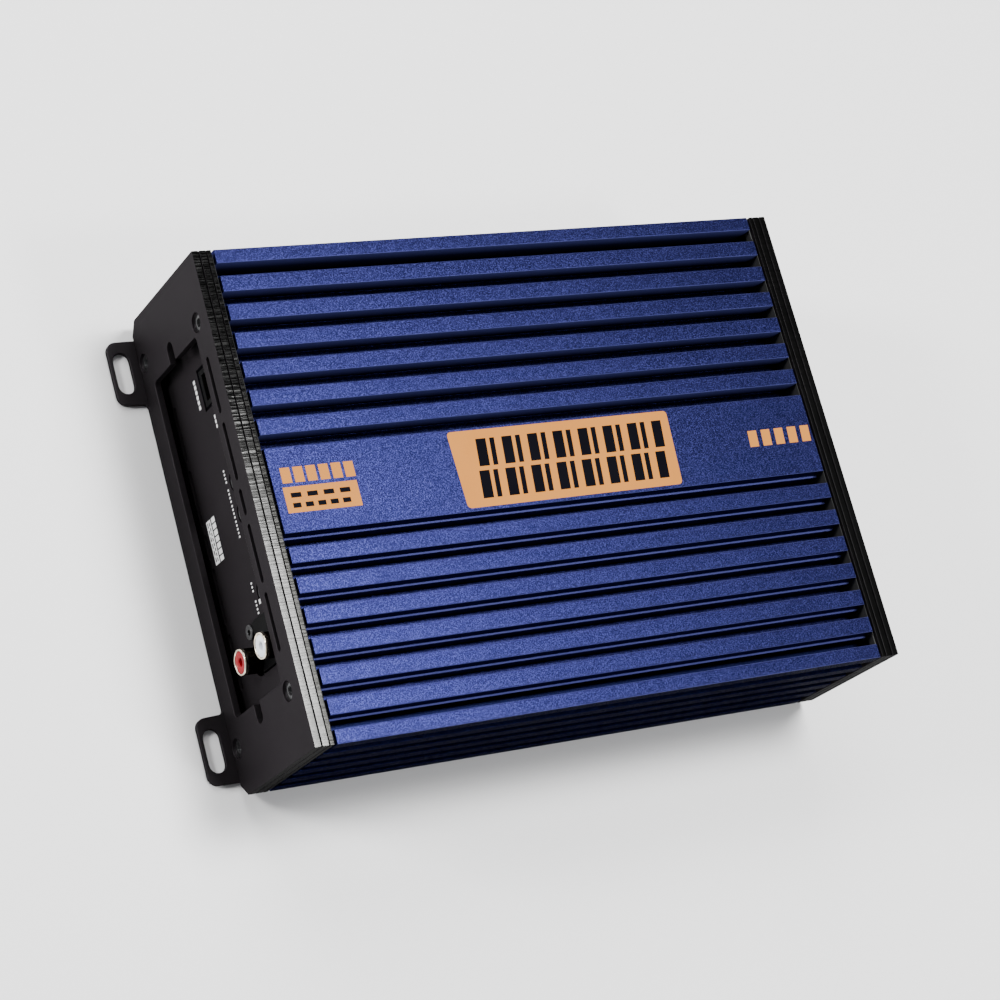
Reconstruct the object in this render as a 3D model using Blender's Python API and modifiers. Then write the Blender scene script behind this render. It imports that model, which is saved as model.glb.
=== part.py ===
"""Compact car amplifier: a finned heatsink body on a base plate, with a control end and a power end.

Metres, +Z up. X runs along the fins, from the control end (-X) to the power end (+X).
The origin is on the underside of the base plate, below the middle of the body.
"""
import math

import bmesh
import bpy
from mathutils import Matrix

MM = 0.001

# ---------------------------------------------------------------- driving dimensions
GAP = 0.3 * MM                    # clearance kept between neighbouring pieces
LENGTH = 210.0 * MM               # over the outer faces of the two end plates
WIDTH = 155.2 * MM
HEIGHT = 57.7 * MM
CHAMFER = 3.9 * MM                # bottom corners of the body

BASE_THICK = 1.5 * MM
EAR_END = 114.5 * MM              # X of the ears' outer edge
EAR_INNER_Y = 51.1 * MM
EAR_OUTER_Y = 72.4 * MM
EAR_CORNER = 3.2 * MM
EAR_FILLET = 1.6 * MM
EAR_TAPER = 0.25 * MM             # each ear is this much wider at its root
EAR_SLOT_X = 110.45 * MM
EAR_SLOT_WIDTH = 5.5 * MM
EAR_SLOT_LENGTH = 13.8 * MM

FACE_THICK = 2.2 * MM
SPACER_THICK = 2.2 * MM
PANEL_THICK = 1.3 * MM
GASKET_THICK = 0.4 * MM

BODY_LOW = BASE_THICK + GAP
FACE_OUT = LENGTH / 2
FACE_IN = FACE_OUT - FACE_THICK
SPACER_OUT = FACE_IN - GAP
SPACER_IN = SPACER_OUT - SPACER_THICK
PANEL_OUT = SPACER_IN - GAP
PANEL_IN = PANEL_OUT - PANEL_THICK
GASKET_OUT = PANEL_IN - GAP
GASKET_IN = GASKET_OUT - GASKET_THICK
SINK_END = GASKET_IN - GAP

# ---------------------------------------------------------------- heatsink section
BAND_HALF = 13.4 * MM             # half of the plain band along the middle
STRIP_COUNT = 7                   # fins on each side of the band
STRIP_WIDTH = 5.06 * MM
GROOVE_WIDTH = 4.2 * MM
FIN_DEPTH = 9.7 * MM
LEDGE_DEPTH = 4.2 * MM            # below the top, on each fin's outer flank
LEDGE_WIDTH = 0.72 * MM
HEAD_DEPTH = 5.6 * MM             # below the top, on each fin's inner flank
UNDERCUT = 1.2 * MM
ROOF_THICK = 2.6 * MM
WALL_INNER_Y = 69.6 * MM
TOP_RIB_DEPTH = 5.25 * MM         # height of the rib at the top corner
TOP_RIB_GROOVE = 2.3 * MM
RIB_TOPS = [z * MM for z in (46.9, 37.65, 28.4, 19.15, 9.9)]
RIB_HEIGHT = 5.06 * MM
RIB_GROOVE = 5.0 * MM
RIB_DROP = 1.05 * MM              # each side groove's floor falls this much inwards
BOSS_INNER_Y = 58.5 * MM
BOSS_TOP = 9.5 * MM

# ---------------------------------------------------------------- end plates
WINDOW_HALF_Y = 54.7 * MM
WINDOW_LOW = 9.7 * MM
WINDOW_HIGH = 46.3 * MM
WINDOW_CORNER = 1.6 * MM
NOTCH_END_Y = 61.1 * MM
NOTCH_LOW = 24.3 * MM
NOTCH_HIGH = 28.8 * MM
VENT_Z = 50.4 * MM
PANEL_VENT_Z = 8.4 * MM
VENT_HEIGHT = 2.1 * MM
VENT_SPANS = [(y0 * MM, y1 * MM) for y0, y1 in
              ((-46.3, -28.2), (-25.2, -6.9), (-4.1, 4.1), (6.9, 25.2), (28.2, 46.3))]
END_SCREWS = [(y * MM, z * MM) for y, z in ((-58.0, 48.9), (58.0, 48.9), (-63.0, 5.4), (63.0, 5.4))]
BASE_SCREWS = [(x * MM, y * MM) for x, y in ((-60.0, -66.0), (60.0, -66.0), (-60.0, 66.0), (60.0, 66.0))]
SHANK_RADIUS = 1.25 * MM
HOLE_RADIUS = 1.6 * MM
HEAD_RADIUS = 2.7 * MM
SINK_RADIUS = 3.1 * MM

# ---------------------------------------------------------------- control end
POT_Z = 37.8 * MM
POT_Y = {"filter": 11.1 * MM, "boost": 1.0 * MM, "gain": -24.0 * MM}
POT_BODY = 9.5 * MM
ROTOR_RADIUS = 3.05 * MM
ROTOR_HOLE = 3.45 * MM
POT_SHAFT = 1.4 * MM
POT_BORE = 1.8 * MM
RCA_Y = -41.6 * MM
RCA_Z = {"upper": 41.4 * MM, "lower": 25.1 * MM}
RCA_RADIUS = 4.1 * MM
RCA_INNER = 2.95 * MM
RCA_HOLE = 4.9 * MM
RCA_TIP = 106.5 * MM
RIVET_Y = -32.6 * MM
RIVET_Z = 24.0 * MM
SOCKET_LOW = (37.0 * MM, 31.4 * MM)
SOCKET_HIGH = (48.7 * MM, 43.4 * MM)
LED_Y = {"power": 33.2 * MM, "clip": 29.2 * MM}
LED_Z = 38.6 * MM
LED_RADIUS = 1.4 * MM
BOARD_FACE = 91.2 * MM            # distance of the control board's face from the middle
BOARD_THICK = 1.6 * MM
MODULE_BACK = BOARD_FACE + GAP

# ---------------------------------------------------------------- power end
BLOCK_LOW_Z = 11.9 * MM
BLOCK_HIGH_Z = 34.0 * MM
BLOCK_FACE = 103.6 * MM
BLOCK_BACK = 82.0 * MM
POWER_Y = [y * MM for y in (-44.0, -33.0, -22.0)]
SPEAKER_Y = [y * MM for y in (30.5, 41.5)]
POLE_PITCH = 11.0 * MM
WIRE_Z = 19.0 * MM
CLAMP_Z = 28.6 * MM
WIRE_RADIUS = 3.3 * MM
CLAMP_RADIUS = 2.4 * MM
CLAMP_BORE = 2.75 * MM
FUSE_Y = 4.0 * MM
FUSE_Z = {"lower": 19.5 * MM, "upper": 30.5 * MM}
FUSE_WIDTH = 19.1 * MM
FUSE_THICK = 5.1 * MM

# ---------------------------------------------------------------- inside
SHELF_Z = BOSS_TOP + GAP          # underside of the main board
DECK_Z = SHELF_Z + BOARD_THICK + GAP

ROUND = 20                        # sides of a small round piece


# ---------------------------------------------------------------- outlines
def arc(centre, radius, start, stop, steps):
    """Points on an arc, from start to stop in degrees, both ends included."""
    angles = [math.radians(start + (stop - start) * i / steps) for i in range(steps + 1)]
    return [(centre[0] + radius * math.cos(a), centre[1] + radius * math.sin(a)) for a in angles]


def circle(centre, radius, sides=ROUND):
    """A closed round outline."""
    return arc(centre, radius, 0, 360, sides)[:-1]


def rectangle(low, high):
    """A closed rectangle between two corners."""
    return [low, (high[0], low[1]), high, (low[0], high[1])]


def long_slot(y0, y1, z, height):
    """A slot along the first axis with round ends."""
    r = height / 2
    right = arc((y1 - r, z), r, -90, 90, 6)
    left = arc((y0 + r, z), r, 90, 270, 6)
    return right + left


def mirrored(right):
    """Closes an outline from its half at positive first coordinate."""
    return right + [(-a, b) for a, b in reversed(right)]


def plate_outline():
    """The end plates' shape: a rectangle with its bottom corners cut off."""
    half = WIDTH / 2
    right = [(half - CHAMFER, BODY_LOW), (half, BODY_LOW + CHAMFER), (half, HEIGHT)]
    return mirrored(right)


def window_outline():
    """The window in a face plate, with a round-ended notch at each end."""
    r = WINDOW_CORNER
    nr = (NOTCH_HIGH - NOTCH_LOW) / 2
    right = arc((WINDOW_HALF_Y - r, WINDOW_LOW + r), r, -90, 0, 4)
    right += [(WINDOW_HALF_Y, NOTCH_LOW)]
    right += arc((NOTCH_END_Y - nr, NOTCH_LOW + nr), nr, -90, 90, 8)
    right += [(WINDOW_HALF_Y, NOTCH_HIGH)]
    right += arc((WINDOW_HALF_Y - r, WINDOW_HIGH - r), r, 0, 90, 4)
    return mirrored(right)


def spacer_opening():
    """The opening in a spacer frame: wide at mid height, narrower past the screws."""
    steps_out = [(57.0, 4.3), (57.0, 10.6), (66.0, 10.6), (66.0, 43.6), (53.2, 43.6), (53.2, 52.6)]
    return mirrored([(y * MM, z * MM) for y, z in steps_out])


def gasket_opening():
    """The opening in a gasket, which only frames the edge of the end."""
    edge = 4.0 * MM
    half = WIDTH / 2 - edge
    low = BODY_LOW + CHAMFER + edge
    return mirrored([(half, low), (half, HEIGHT - edge)])


def gasket_outline():
    """The gasket lies a little inside the end plates' edge."""
    inset = 1.2 * MM
    half = WIDTH / 2 - inset
    right = [(half - CHAMFER, BODY_LOW + inset), (half, BODY_LOW + inset + CHAMFER), (half, HEIGHT - inset)]
    return mirrored(right)


def vent_row(z):
    """Five long slots in a row."""
    return [long_slot(y0, y1, z, VENT_HEIGHT) for y0, y1 in VENT_SPANS]


def fin_flanks():
    """Top of the heatsink, from the band's edge to the last fin's inner edge."""
    floor = HEIGHT - FIN_DEPTH
    edge = BAND_HALF
    points = [(edge, HEIGHT)]
    for index in range(STRIP_COUNT):
        points += [(edge, HEIGHT - LEDGE_DEPTH), (edge + LEDGE_WIDTH, HEIGHT - LEDGE_DEPTH)]
        points += [(edge + LEDGE_WIDTH, floor)]
        start = edge + GROOVE_WIDTH
        if index < STRIP_COUNT - 1:
            points += [(start + UNDERCUT, floor), (start + UNDERCUT, HEIGHT - HEAD_DEPTH)]
            points += [(start, HEIGHT - HEAD_DEPTH), (start, HEIGHT)]
            edge = start + STRIP_WIDTH
            points += [(edge, HEIGHT)]
        else:
            points += [(start, floor), (start, HEIGHT)]
    return points


def side_ribs():
    """One side of the heatsink, from its top corner down to the bottom chamfer."""
    half = WIDTH / 2
    upper = HEIGHT - TOP_RIB_DEPTH
    points = [(half, HEIGHT), (half, upper), (half - TOP_RIB_GROOVE, upper)]
    points += [(half - TOP_RIB_GROOVE, RIB_TOPS[0]), (half, RIB_TOPS[0])]
    for top, below in zip(RIB_TOPS, RIB_TOPS[1:]):
        bottom = top - RIB_HEIGHT
        points += [(half, bottom), (half - RIB_GROOVE, bottom)]
        points += [(half - RIB_GROOVE, below - RIB_DROP), (half, below)]
    return points + [(half, BODY_LOW + CHAMFER), (half - CHAMFER, BODY_LOW)]


def heatsink_outline():
    """The whole section of the heatsink, open underneath, with a boss along each bottom edge."""
    ceiling = HEIGHT - FIN_DEPTH - ROOF_THICK
    inside = [(BOSS_INNER_Y, BODY_LOW), (BOSS_INNER_Y, BOSS_TOP), (WALL_INNER_Y, BOSS_TOP)]
    inside += [(WALL_INNER_Y, ceiling)]
    return mirrored(fin_flanks() + side_ribs() + inside)


def base_outline():
    """Base plate with an ear at each corner, drawn as one quarter and mirrored twice."""
    foot = FACE_OUT - 0.2 * MM
    c = EAR_CORNER
    f = EAR_FILLET
    quarter = arc((foot + f, EAR_INNER_Y - EAR_TAPER - f), f, 180, 90, 4)
    quarter += arc((EAR_END - c, EAR_INNER_Y + c), c, -90, 0, 5)
    quarter += arc((EAR_END - c, EAR_OUTER_Y - c), c, 0, 90, 5)
    right = [(x, -y) for x, y in reversed(quarter)] + quarter
    return right + [(-x, -y) for x, y in right]


def ear_slots():
    """The four mounting slots, each long in Y."""
    r = EAR_SLOT_WIDTH / 2
    middle = (EAR_INNER_Y + EAR_OUTER_Y) / 2
    reach = EAR_SLOT_LENGTH / 2 - r
    slots = []
    for sx in (-1, 1):
        for sy in (-1, 1):
            x = sx * EAR_SLOT_X
            y = sy * middle
            slots.append(arc((x, y + reach), r, 0, 180, 8) + arc((x, y - reach), r, 180, 360, 8))
    return slots


# ---------------------------------------------------------------- scene helpers
def clear_scene():
    """Removes what the scene holds, so the script can be run again."""
    for item in list(bpy.data.objects):
        bpy.data.objects.remove(item, do_unlink=True)


def new_collection(name, hidden=False):
    """A collection linked under the scene."""
    found = bpy.data.collections.new(name)
    bpy.context.scene.collection.children.link(found)
    found.hide_render = hidden
    return found


clear_scene()
PARTS = new_collection("car_amplifier")
CUTTERS = new_collection("cutters", hidden=True)


def make_material(name, colour, roughness, metallic=0.0):
    """A plain Principled BSDF material."""
    material = bpy.data.materials.new(name)
    material.use_nodes = True
    shader = material.node_tree.nodes["Principled BSDF"]
    shader.inputs["Base Color"].default_value = (*colour, 1.0)
    shader.inputs["Roughness"].default_value = roughness
    shader.inputs["Metallic"].default_value = metallic
    material.diffuse_color = (*colour, 1.0)
    return material


BLUE = make_material("blue_anodised", (0.045, 0.085, 0.36), 0.45, 0.9)
BLACK_METAL = make_material("black_painted_steel", (0.02, 0.019, 0.021), 0.42, 0.0)
BLACK_PLASTIC = make_material("black_plastic", (0.012, 0.012, 0.013), 0.5)
STEEL = make_material("zinc_steel", (0.42, 0.42, 0.43), 0.35, 1.0)
NICKEL = make_material("nickel_plate", (0.62, 0.61, 0.59), 0.22, 1.0)
WHITE_PLASTIC = make_material("white_plastic", (0.8, 0.8, 0.78), 0.4)
RED_PLASTIC = make_material("red_plastic", (0.55, 0.02, 0.03), 0.4)
BOARD_GREEN = make_material("board_green", (0.015, 0.12, 0.05), 0.5)
GASKET = make_material("gasket_rubber", (0.01, 0.01, 0.01), 0.85)
GREY_PLASTIC = make_material("grey_plastic", (0.11, 0.11, 0.12), 0.5)
LED_GREEN = make_material("led_green", (0.1, 0.55, 0.15), 0.2)
LED_RED = make_material("led_red", (0.6, 0.04, 0.03), 0.2)
FUSE_GREEN = make_material("fuse_green", (0.05, 0.42, 0.12), 0.25)
SLEEVE = make_material("capacitor_sleeve", (0.03, 0.035, 0.06), 0.4)
COPPER = make_material("enamelled_copper", (0.42, 0.16, 0.05), 0.35, 0.8)
ALUMINIUM = make_material("plain_aluminium", (0.55, 0.55, 0.56), 0.4, 1.0)


def add_object(name, data, material=None, matrix=None, collection=None):
    """Links a new object to its collection."""
    item = bpy.data.objects.new(name, data)
    (collection or PARTS).objects.link(item)
    item.matrix_world = matrix or Matrix.Identity(4)
    if material is not None and not data.materials:
        data.materials.append(material)
    return item


def frozen_mesh(item, name, flat=False):
    """The evaluated mesh of an object, welded; the object itself is removed.

    With flat, every flat side becomes one face.
    """
    bpy.context.view_layer.update()
    depsgraph = bpy.context.evaluated_depsgraph_get()
    mesh = bpy.data.meshes.new_from_object(item.evaluated_get(depsgraph))
    mesh.name = name
    work = bmesh.new()
    work.from_mesh(mesh)
    bmesh.ops.remove_doubles(work, verts=work.verts, dist=1e-6)
    if flat:
        bmesh.ops.dissolve_limit(work, angle_limit=math.radians(0.5), verts=work.verts, edges=work.edges)
    work.to_mesh(mesh)
    work.free()
    data = item.data
    bpy.data.objects.remove(item, do_unlink=True)
    if data.users == 0 and isinstance(data, bpy.types.Curve):
        bpy.data.curves.remove(data)
    return mesh


# The outline's two axes become world Y and Z, and its thickness world X.
ON_END = Matrix(((0, 0, 1, 0), (1, 0, 0, 0), (0, 1, 0, 0), (0, 0, 0, 1)))


def flat_mesh(name, outlines, low, high, upright=True):
    """Closed outlines given a thickness: the mesh, and the matrix that puts it in place.

    It fills low to high along X when upright, and along Z when not.
    """
    curve = bpy.data.curves.new(name, "CURVE")
    curve.dimensions = "2D"
    curve.fill_mode = "BOTH"
    curve.extrude = (high - low) / 2
    for outline in outlines:
        spline = curve.splines.new("POLY")
        spline.points.add(len(outline) - 1)
        for point, (a, b) in zip(spline.points, outline):
            point.co = (a, b, 0, 1)
        spline.use_cyclic_u = True
    middle = (low + high) / 2
    turn = ON_END if upright else Matrix.Identity(4)
    place = Matrix.Translation((middle, 0, 0) if upright else (0, 0, middle)) @ turn
    drawn = add_object(name + "_outline", curve, matrix=place)
    return frozen_mesh(drawn, name, flat=True), place


def flat_part(name, edge, holes, low, high, material, upright=True):
    """A plate from its edge outline, with hole outlines cut through its thickness."""
    mesh, place = flat_mesh(name, [edge], low, high, upright)
    item = add_object(name, mesh, material, place)
    if holes:
        beyond = 1 * MM
        cutter, cutter_place = flat_mesh(name + "_holes", holes, low - beyond, high + beyond, upright)
        cut(item, cutter, cutter_place)
    return item


def box_mesh(name, low, high):
    """A closed box between two corners, in the object's own frame."""
    size = [b - a for a, b in zip(low, high)]
    middle = [(a + b) / 2 for a, b in zip(low, high)]
    work = bmesh.new()
    bmesh.ops.create_cube(work, size=1.0, matrix=Matrix.Translation(middle) @ Matrix.Diagonal((*size, 1.0)))
    mesh = bpy.data.meshes.new(name)
    work.to_mesh(mesh)
    work.free()
    return mesh


def box_part(name, low, high, material, bevel=0.0):
    """A box with its edges rounded off where bevel is given."""
    item = add_object(name, box_mesh(name, low, high), material)
    if bevel:
        add_bevel(item, bevel)
    return item


def add_bevel(item, width, segments=2):
    """Rounds an object's sharp edges."""
    modifier = item.modifiers.new("rounded_edges", "BEVEL")
    modifier.width = width
    modifier.segments = segments
    modifier.limit_method = "ANGLE"


def cone_mesh(name, radius_low, radius_high, low, high, sides):
    """A closed cone or cylinder about local Z, from low to high."""
    work = bmesh.new()
    bmesh.ops.create_cone(work, cap_ends=True, cap_tris=False, segments=sides, radius1=radius_low,
                          radius2=radius_high, depth=high - low,
                          matrix=Matrix.Translation((0, 0, (low + high) / 2)))
    mesh = bpy.data.meshes.new(name)
    work.to_mesh(mesh)
    work.free()
    return mesh


def outward(side, y, z, distance=0.0):
    """A frame at one end whose +Z points out of that end: side is -1 for the control end."""
    turn = Matrix.Rotation(side * math.pi / 2, 4, "Y")
    return Matrix.Translation((side * distance, y, z)) @ turn


def cut(item, mesh, matrix=None, join=False):
    """Cuts a mesh out of an object with a Boolean, or joins it on."""
    cutter = add_object(mesh.name, mesh, matrix=matrix, collection=CUTTERS)
    cutter.hide_render = True
    cutter.display_type = "WIRE"
    modifier = item.modifiers.new(mesh.name, "BOOLEAN")
    modifier.operation = "UNION" if join else "DIFFERENCE"
    modifier.object = cutter
    return item


def bore(item, radius, side, y, z, low, high, sides=ROUND):
    """A round hole along X, between two distances from the middle."""
    name = item.name + "_bore"
    return cut(item, cone_mesh(name, radius, radius, low, high, sides), outward(side, y, z))


def turned_mesh(name, profile, steps=ROUND, ring=False):
    """A solid turned about local Z from (radius, height) points, top to bottom on its outer side."""
    mesh = bpy.data.meshes.new(name + "_profile")
    points = [(r, 0, h) for r, h in profile]
    edges = [(i, i + 1) for i in range(len(points) - 1)]
    if ring:
        edges.append((len(points) - 1, 0))
    mesh.from_pydata(points, edges, [])
    item = add_object(name, mesh)
    modifier = item.modifiers.new("turned", "SCREW")
    modifier.axis = "Z"
    modifier.angle = 2 * math.pi
    modifier.steps = steps
    modifier.render_steps = steps
    modifier.use_merge_vertices = True
    modifier.merge_threshold = 0.00001
    frozen = frozen_mesh(item, name)
    frozen.shade_smooth()
    frozen.set_sharp_from_angle(angle=math.radians(35))
    return frozen


# ---------------------------------------------------------------- shell
def build_heatsink():
    """The extruded body, bored for the end screws and the base screws."""
    sink = flat_part("heatsink", heatsink_outline(), [], -SINK_END, SINK_END, BLUE)
    depth = 12.5 * MM
    for side in (-1, 1):
        for y, z in END_SCREWS:
            bore(sink, HOLE_RADIUS, side, y, z, SINK_END - depth, SINK_END + 1 * MM, 12)
    for x, y in BASE_SCREWS:
        hole = cone_mesh("base_tap", HOLE_RADIUS, HOLE_RADIUS, 0, 8.3 * MM, 12)
        cut(sink, hole, Matrix.Translation((x, y, 0)))


def build_base_plate():
    """The flat plate that closes the body underneath and carries the mounting ears."""
    screw_holes = [circle(place, HOLE_RADIUS) for place in BASE_SCREWS]
    plate = flat_part("base_plate", base_outline(), ear_slots() + screw_holes, 0, BASE_THICK, BLACK_METAL,
                      upright=False)
    below = 0.3 * MM
    short = 0.1 * MM
    for x, y in BASE_SCREWS:
        taper = cone_mesh("base_sink", SINK_RADIUS + below, HOLE_RADIUS + short, -below, BASE_THICK - short, ROUND)
        cut(plate, taper, Matrix.Translation((x, y, 0)))


def countersink(plate, side, y, z):
    """A screw's hole in a face plate: a short straight mouth, then a cone."""
    mouth = 0.8 * MM
    straight = cone_mesh("mouth", SINK_RADIUS, SINK_RADIUS, -mouth, 1 * MM, ROUND)
    taper = cone_mesh("taper", HOLE_RADIUS, SINK_RADIUS, -FACE_THICK - 0.1 * MM, -mouth + 0.01 * MM, ROUND)
    frame = outward(side, y, z, FACE_OUT)
    cut(plate, taper, frame)
    cut(plate, straight, frame)


def build_end_shell(side, end, panel_name, panel_holes):
    """Face plate, spacer frame, panel and gasket of one end."""
    screw_holes = [circle(place, HOLE_RADIUS, 12) for place in END_SCREWS]

    def span(outer, inner):
        return sorted((side * outer, side * inner))

    face = flat_part(end + "_face_plate", plate_outline(), [window_outline()] + vent_row(VENT_Z),
                     *span(FACE_OUT, FACE_IN), BLACK_METAL)
    for y, z in END_SCREWS:
        countersink(face, side, y, z)
    flat_part(end + "_spacer_frame", plate_outline(), [spacer_opening()] + screw_holes,
              *span(SPACER_OUT, SPACER_IN), BLACK_METAL)
    vents = vent_row(VENT_Z) + vent_row(PANEL_VENT_Z)
    panel = flat_part(panel_name, plate_outline(), vents + screw_holes + panel_holes,
                      *span(PANEL_OUT, PANEL_IN), BLACK_METAL)
    # The two upper screws pass inside the gasket's opening, and the two lower ones through its rim.
    flat_part(end + "_gasket", gasket_outline(), [gasket_opening()] + screw_holes[2:],
              *span(GASKET_OUT, GASKET_IN), GASKET)
    return panel


def build_screws():
    """Countersunk hexagon socket screws: four at each end, and four under the base."""
    head = -0.9 * MM
    taper = 1.45 * MM
    tip = -14.0 * MM
    profile = [(0, head), (HEAD_RADIUS, head), (SHANK_RADIUS, head - taper), (SHANK_RADIUS, tip), (0, tip)]
    blank = add_object("screw_blank", turned_mesh("screw_blank", profile, 16), STEEL)
    cut(blank, cone_mesh("hex_socket", 1.45 * MM, 1.45 * MM, head - 1.3 * MM, head + 1 * MM, 6))
    mesh = frozen_mesh(blank, "end_screw")
    for side, end in ((-1, "left"), (1, "right")):
        for (y, z), corner in zip(END_SCREWS, ("top_front", "top_back", "low_front", "low_back")):
            name = f"{end}_screw_{corner}"
            add_object(name, mesh, STEEL, outward(side, y, z, FACE_OUT))
    low = 0.1 * MM
    base_profile = [(0, 7.8 * MM), (SHANK_RADIUS, 7.8 * MM), (SHANK_RADIUS, low + taper), (HEAD_RADIUS, low), (0, low)]
    blank = add_object("base_screw_blank", turned_mesh("base_screw_blank", base_profile, 16), STEEL)
    cut(blank, cone_mesh("base_hex", 1.2 * MM, 1.2 * MM, -1 * MM, 1.0 * MM, 6))
    mesh = frozen_mesh(blank, "base_screw")
    for index, (x, y) in enumerate(BASE_SCREWS, start=1):
        add_object(f"base_screw_{index}", mesh, STEEL, Matrix.Translation((x, y, 0)))


# ---------------------------------------------------------------- control end
RCA_OPENING_LOW = (-46.4 * MM, 26.8 * MM)
RCA_OPENING_HIGH = (-30.1 * MM, 37.4 * MM)


def build_control_panel():
    """The labelled panel of the control end, with its openings."""
    holes = [circle((y, POT_Z), ROTOR_HOLE) for y in POT_Y.values()]
    holes += [circle((y, LED_Z), LED_RADIUS + GAP, 12) for y in LED_Y.values()]
    holes += [rectangle([c - GAP for c in SOCKET_LOW], [c + GAP for c in SOCKET_HIGH])]
    holes += [circle((RIVET_Y, RIVET_Z), 1.6 * MM, 12)]
    panel = build_end_shell(-1, "left", "control_panel", holes)
    for z in RCA_Z.values():
        bore(panel, RCA_HOLE, -1, RCA_Y, z, PANEL_IN - 1 * MM, PANEL_OUT + 1 * MM, 28)
    low = (-PANEL_OUT - 1 * MM, *RCA_OPENING_LOW)
    high = (-PANEL_IN + 1 * MM, *RCA_OPENING_HIGH)
    cut(panel, box_mesh("rca_opening", low, high))


def build_rca_block():
    """Double phono input: a moulded housing with two plated shells and coloured inserts."""
    face = PANEL_IN - 0.4 * MM
    housing = box_part("rca_housing", (-face, -48.0 * MM, 18.5 * MM), (-MODULE_BACK, -29.5 * MM, 45.0 * MM),
                       BLACK_PLASTIC)
    low = (-PANEL_OUT - 0.6 * MM, RCA_OPENING_LOW[0] + GAP, RCA_OPENING_LOW[1] + GAP)
    high = (-face + 1 * MM, RCA_OPENING_HIGH[0] - GAP, RCA_OPENING_HIGH[1] - GAP)
    cut(housing, box_mesh("rca_front", low, high), join=True)
    for z in RCA_Z.values():
        bore(housing, RCA_RADIUS + 0.4 * MM, -1, RCA_Y, z, face, PANEL_OUT + 2 * MM, 28)
    bore(housing, 1.5 * MM, -1, RIVET_Y, RIVET_Z, face - 4 * MM, face + 1 * MM, 12)
    foot = face + GAP
    lip = 0.25 * MM
    shell = turned_mesh("rca_shell", [
        (RCA_RADIUS - lip, RCA_TIP), (RCA_RADIUS, RCA_TIP - lip), (RCA_RADIUS, foot), (RCA_INNER, foot),
        (RCA_INNER, RCA_TIP - lip), (RCA_INNER + lip, RCA_TIP)], 32, ring=True)
    collar = 1.2 * MM
    bottom = RCA_TIP - 5.5 * MM
    insert = turned_mesh("rca_insert", [
        (0, bottom), (collar, bottom), (collar, RCA_TIP - 0.2 * MM), (RCA_INNER - GAP, RCA_TIP - 0.2 * MM),
        (RCA_INNER - GAP, foot), (0, foot)], 24)
    for level, colour in (("upper", WHITE_PLASTIC), ("lower", RED_PLASTIC)):
        place = outward(-1, RCA_Y, RCA_Z[level])
        add_object(level + "_rca_shell", shell, NICKEL, place)
        piece = insert.copy()
        piece.materials.clear()
        add_object(level + "_rca_insert", piece, colour, place)
    rivet = turned_mesh("rca_rivet", [
        (0.9 * MM, PANEL_OUT + 0.7 * MM), (2.3 * MM, PANEL_OUT + 0.7 * MM), (2.5 * MM, PANEL_OUT + GAP),
        (1.3 * MM, PANEL_OUT + GAP), (1.3 * MM, face - 3.4 * MM), (0.9 * MM, face - 3.4 * MM)], 20, ring=True)
    add_object("rca_rivet", rivet, BLACK_METAL, outward(-1, RIVET_Y, RIVET_Z))


def build_remote_socket():
    """Four-pin socket for the wired remote control."""
    low = (-PANEL_OUT, *SOCKET_LOW)
    high = (-MODULE_BACK, *SOCKET_HIGH)
    socket = box_part("remote_socket", low, high, BLACK_PLASTIC)
    wall = 1.7 * MM
    floor = -PANEL_OUT + 6.8 * MM
    cut(socket, box_mesh("socket_mouth", (low[0] - 1 * MM, low[1] + wall, low[2] + wall),
                         (floor, high[1] - wall, high[2] - wall)))
    pin = 0.45 * MM
    for y in (40.4 * MM, 45.3 * MM):
        for z in (35.2 * MM, 39.6 * MM):
            cut(socket, box_mesh("socket_pin", (floor - 2.2 * MM, y - pin, z - pin),
                                 (floor + 0.5 * MM, y + pin, z + pin)), join=True)


def build_leds():
    """Two small domed indicator lamps."""
    dome = [(LED_RADIUS * math.sin(a), LED_RADIUS * math.cos(a)) for a in
            [math.radians(angle) for angle in (0, 30, 60, 90)]]
    base = PANEL_OUT - 0.9 * MM
    profile = [(r, base + h) for r, h in dome] + [(LED_RADIUS, MODULE_BACK), (0, MODULE_BACK)]
    for name, colour in (("power", LED_GREEN), ("clip", LED_RED)):
        mesh = turned_mesh(name + "_led", profile, 14)
        add_object(name + "_led", mesh, colour, outward(-1, LED_Y[name], LED_Z))


def build_potentiometers():
    """Three trimmers, each a fixed body and a slotted rotor that a screwdriver turns."""
    half = POT_BODY / 2
    face = PANEL_IN - 1.5 * MM
    bore_floor = MODULE_BACK + 1.5 * MM
    blank = add_object("pot_blank", box_mesh("pot_blank", (-half, -half, MODULE_BACK), (half, half, face)),
                       GREY_PLASTIC)
    cut(blank, cone_mesh("pot_bore", POT_BORE, POT_BORE, bore_floor, face + 1 * MM, 16))
    body = frozen_mesh(blank, "pot_body")
    front = PANEL_OUT - 0.3 * MM
    shoulder = face + GAP
    blank = add_object("rotor_blank", turned_mesh("rotor_blank", [
        (0, front), (ROTOR_RADIUS, front), (ROTOR_RADIUS, shoulder), (POT_SHAFT, shoulder),
        (POT_SHAFT, bore_floor + GAP), (0, bore_floor + GAP)], 24), WHITE_PLASTIC)
    slot = 0.45 * MM
    reach = ROTOR_RADIUS * 0.8
    cut(blank, box_mesh("driver_slot", (-reach, -slot, front - 0.9 * MM), (reach, slot, front + 1 * MM)))
    rotor = frozen_mesh(blank, "pot_rotor")
    for name, y in POT_Y.items():
        place = outward(-1, y, POT_Z)
        add_object(name + "_pot_body", body, GREY_PLASTIC, place)
        add_object(name + "_pot_rotor", rotor, WHITE_PLASTIC, place)


# ---------------------------------------------------------------- power end
def terminal_edges(poles):
    """Y of the two ends of a terminal block that holds these poles."""
    return poles[0] - POLE_PITCH / 2 - 0.5 * MM, poles[-1] + POLE_PITCH / 2 + 0.5 * MM


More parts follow.
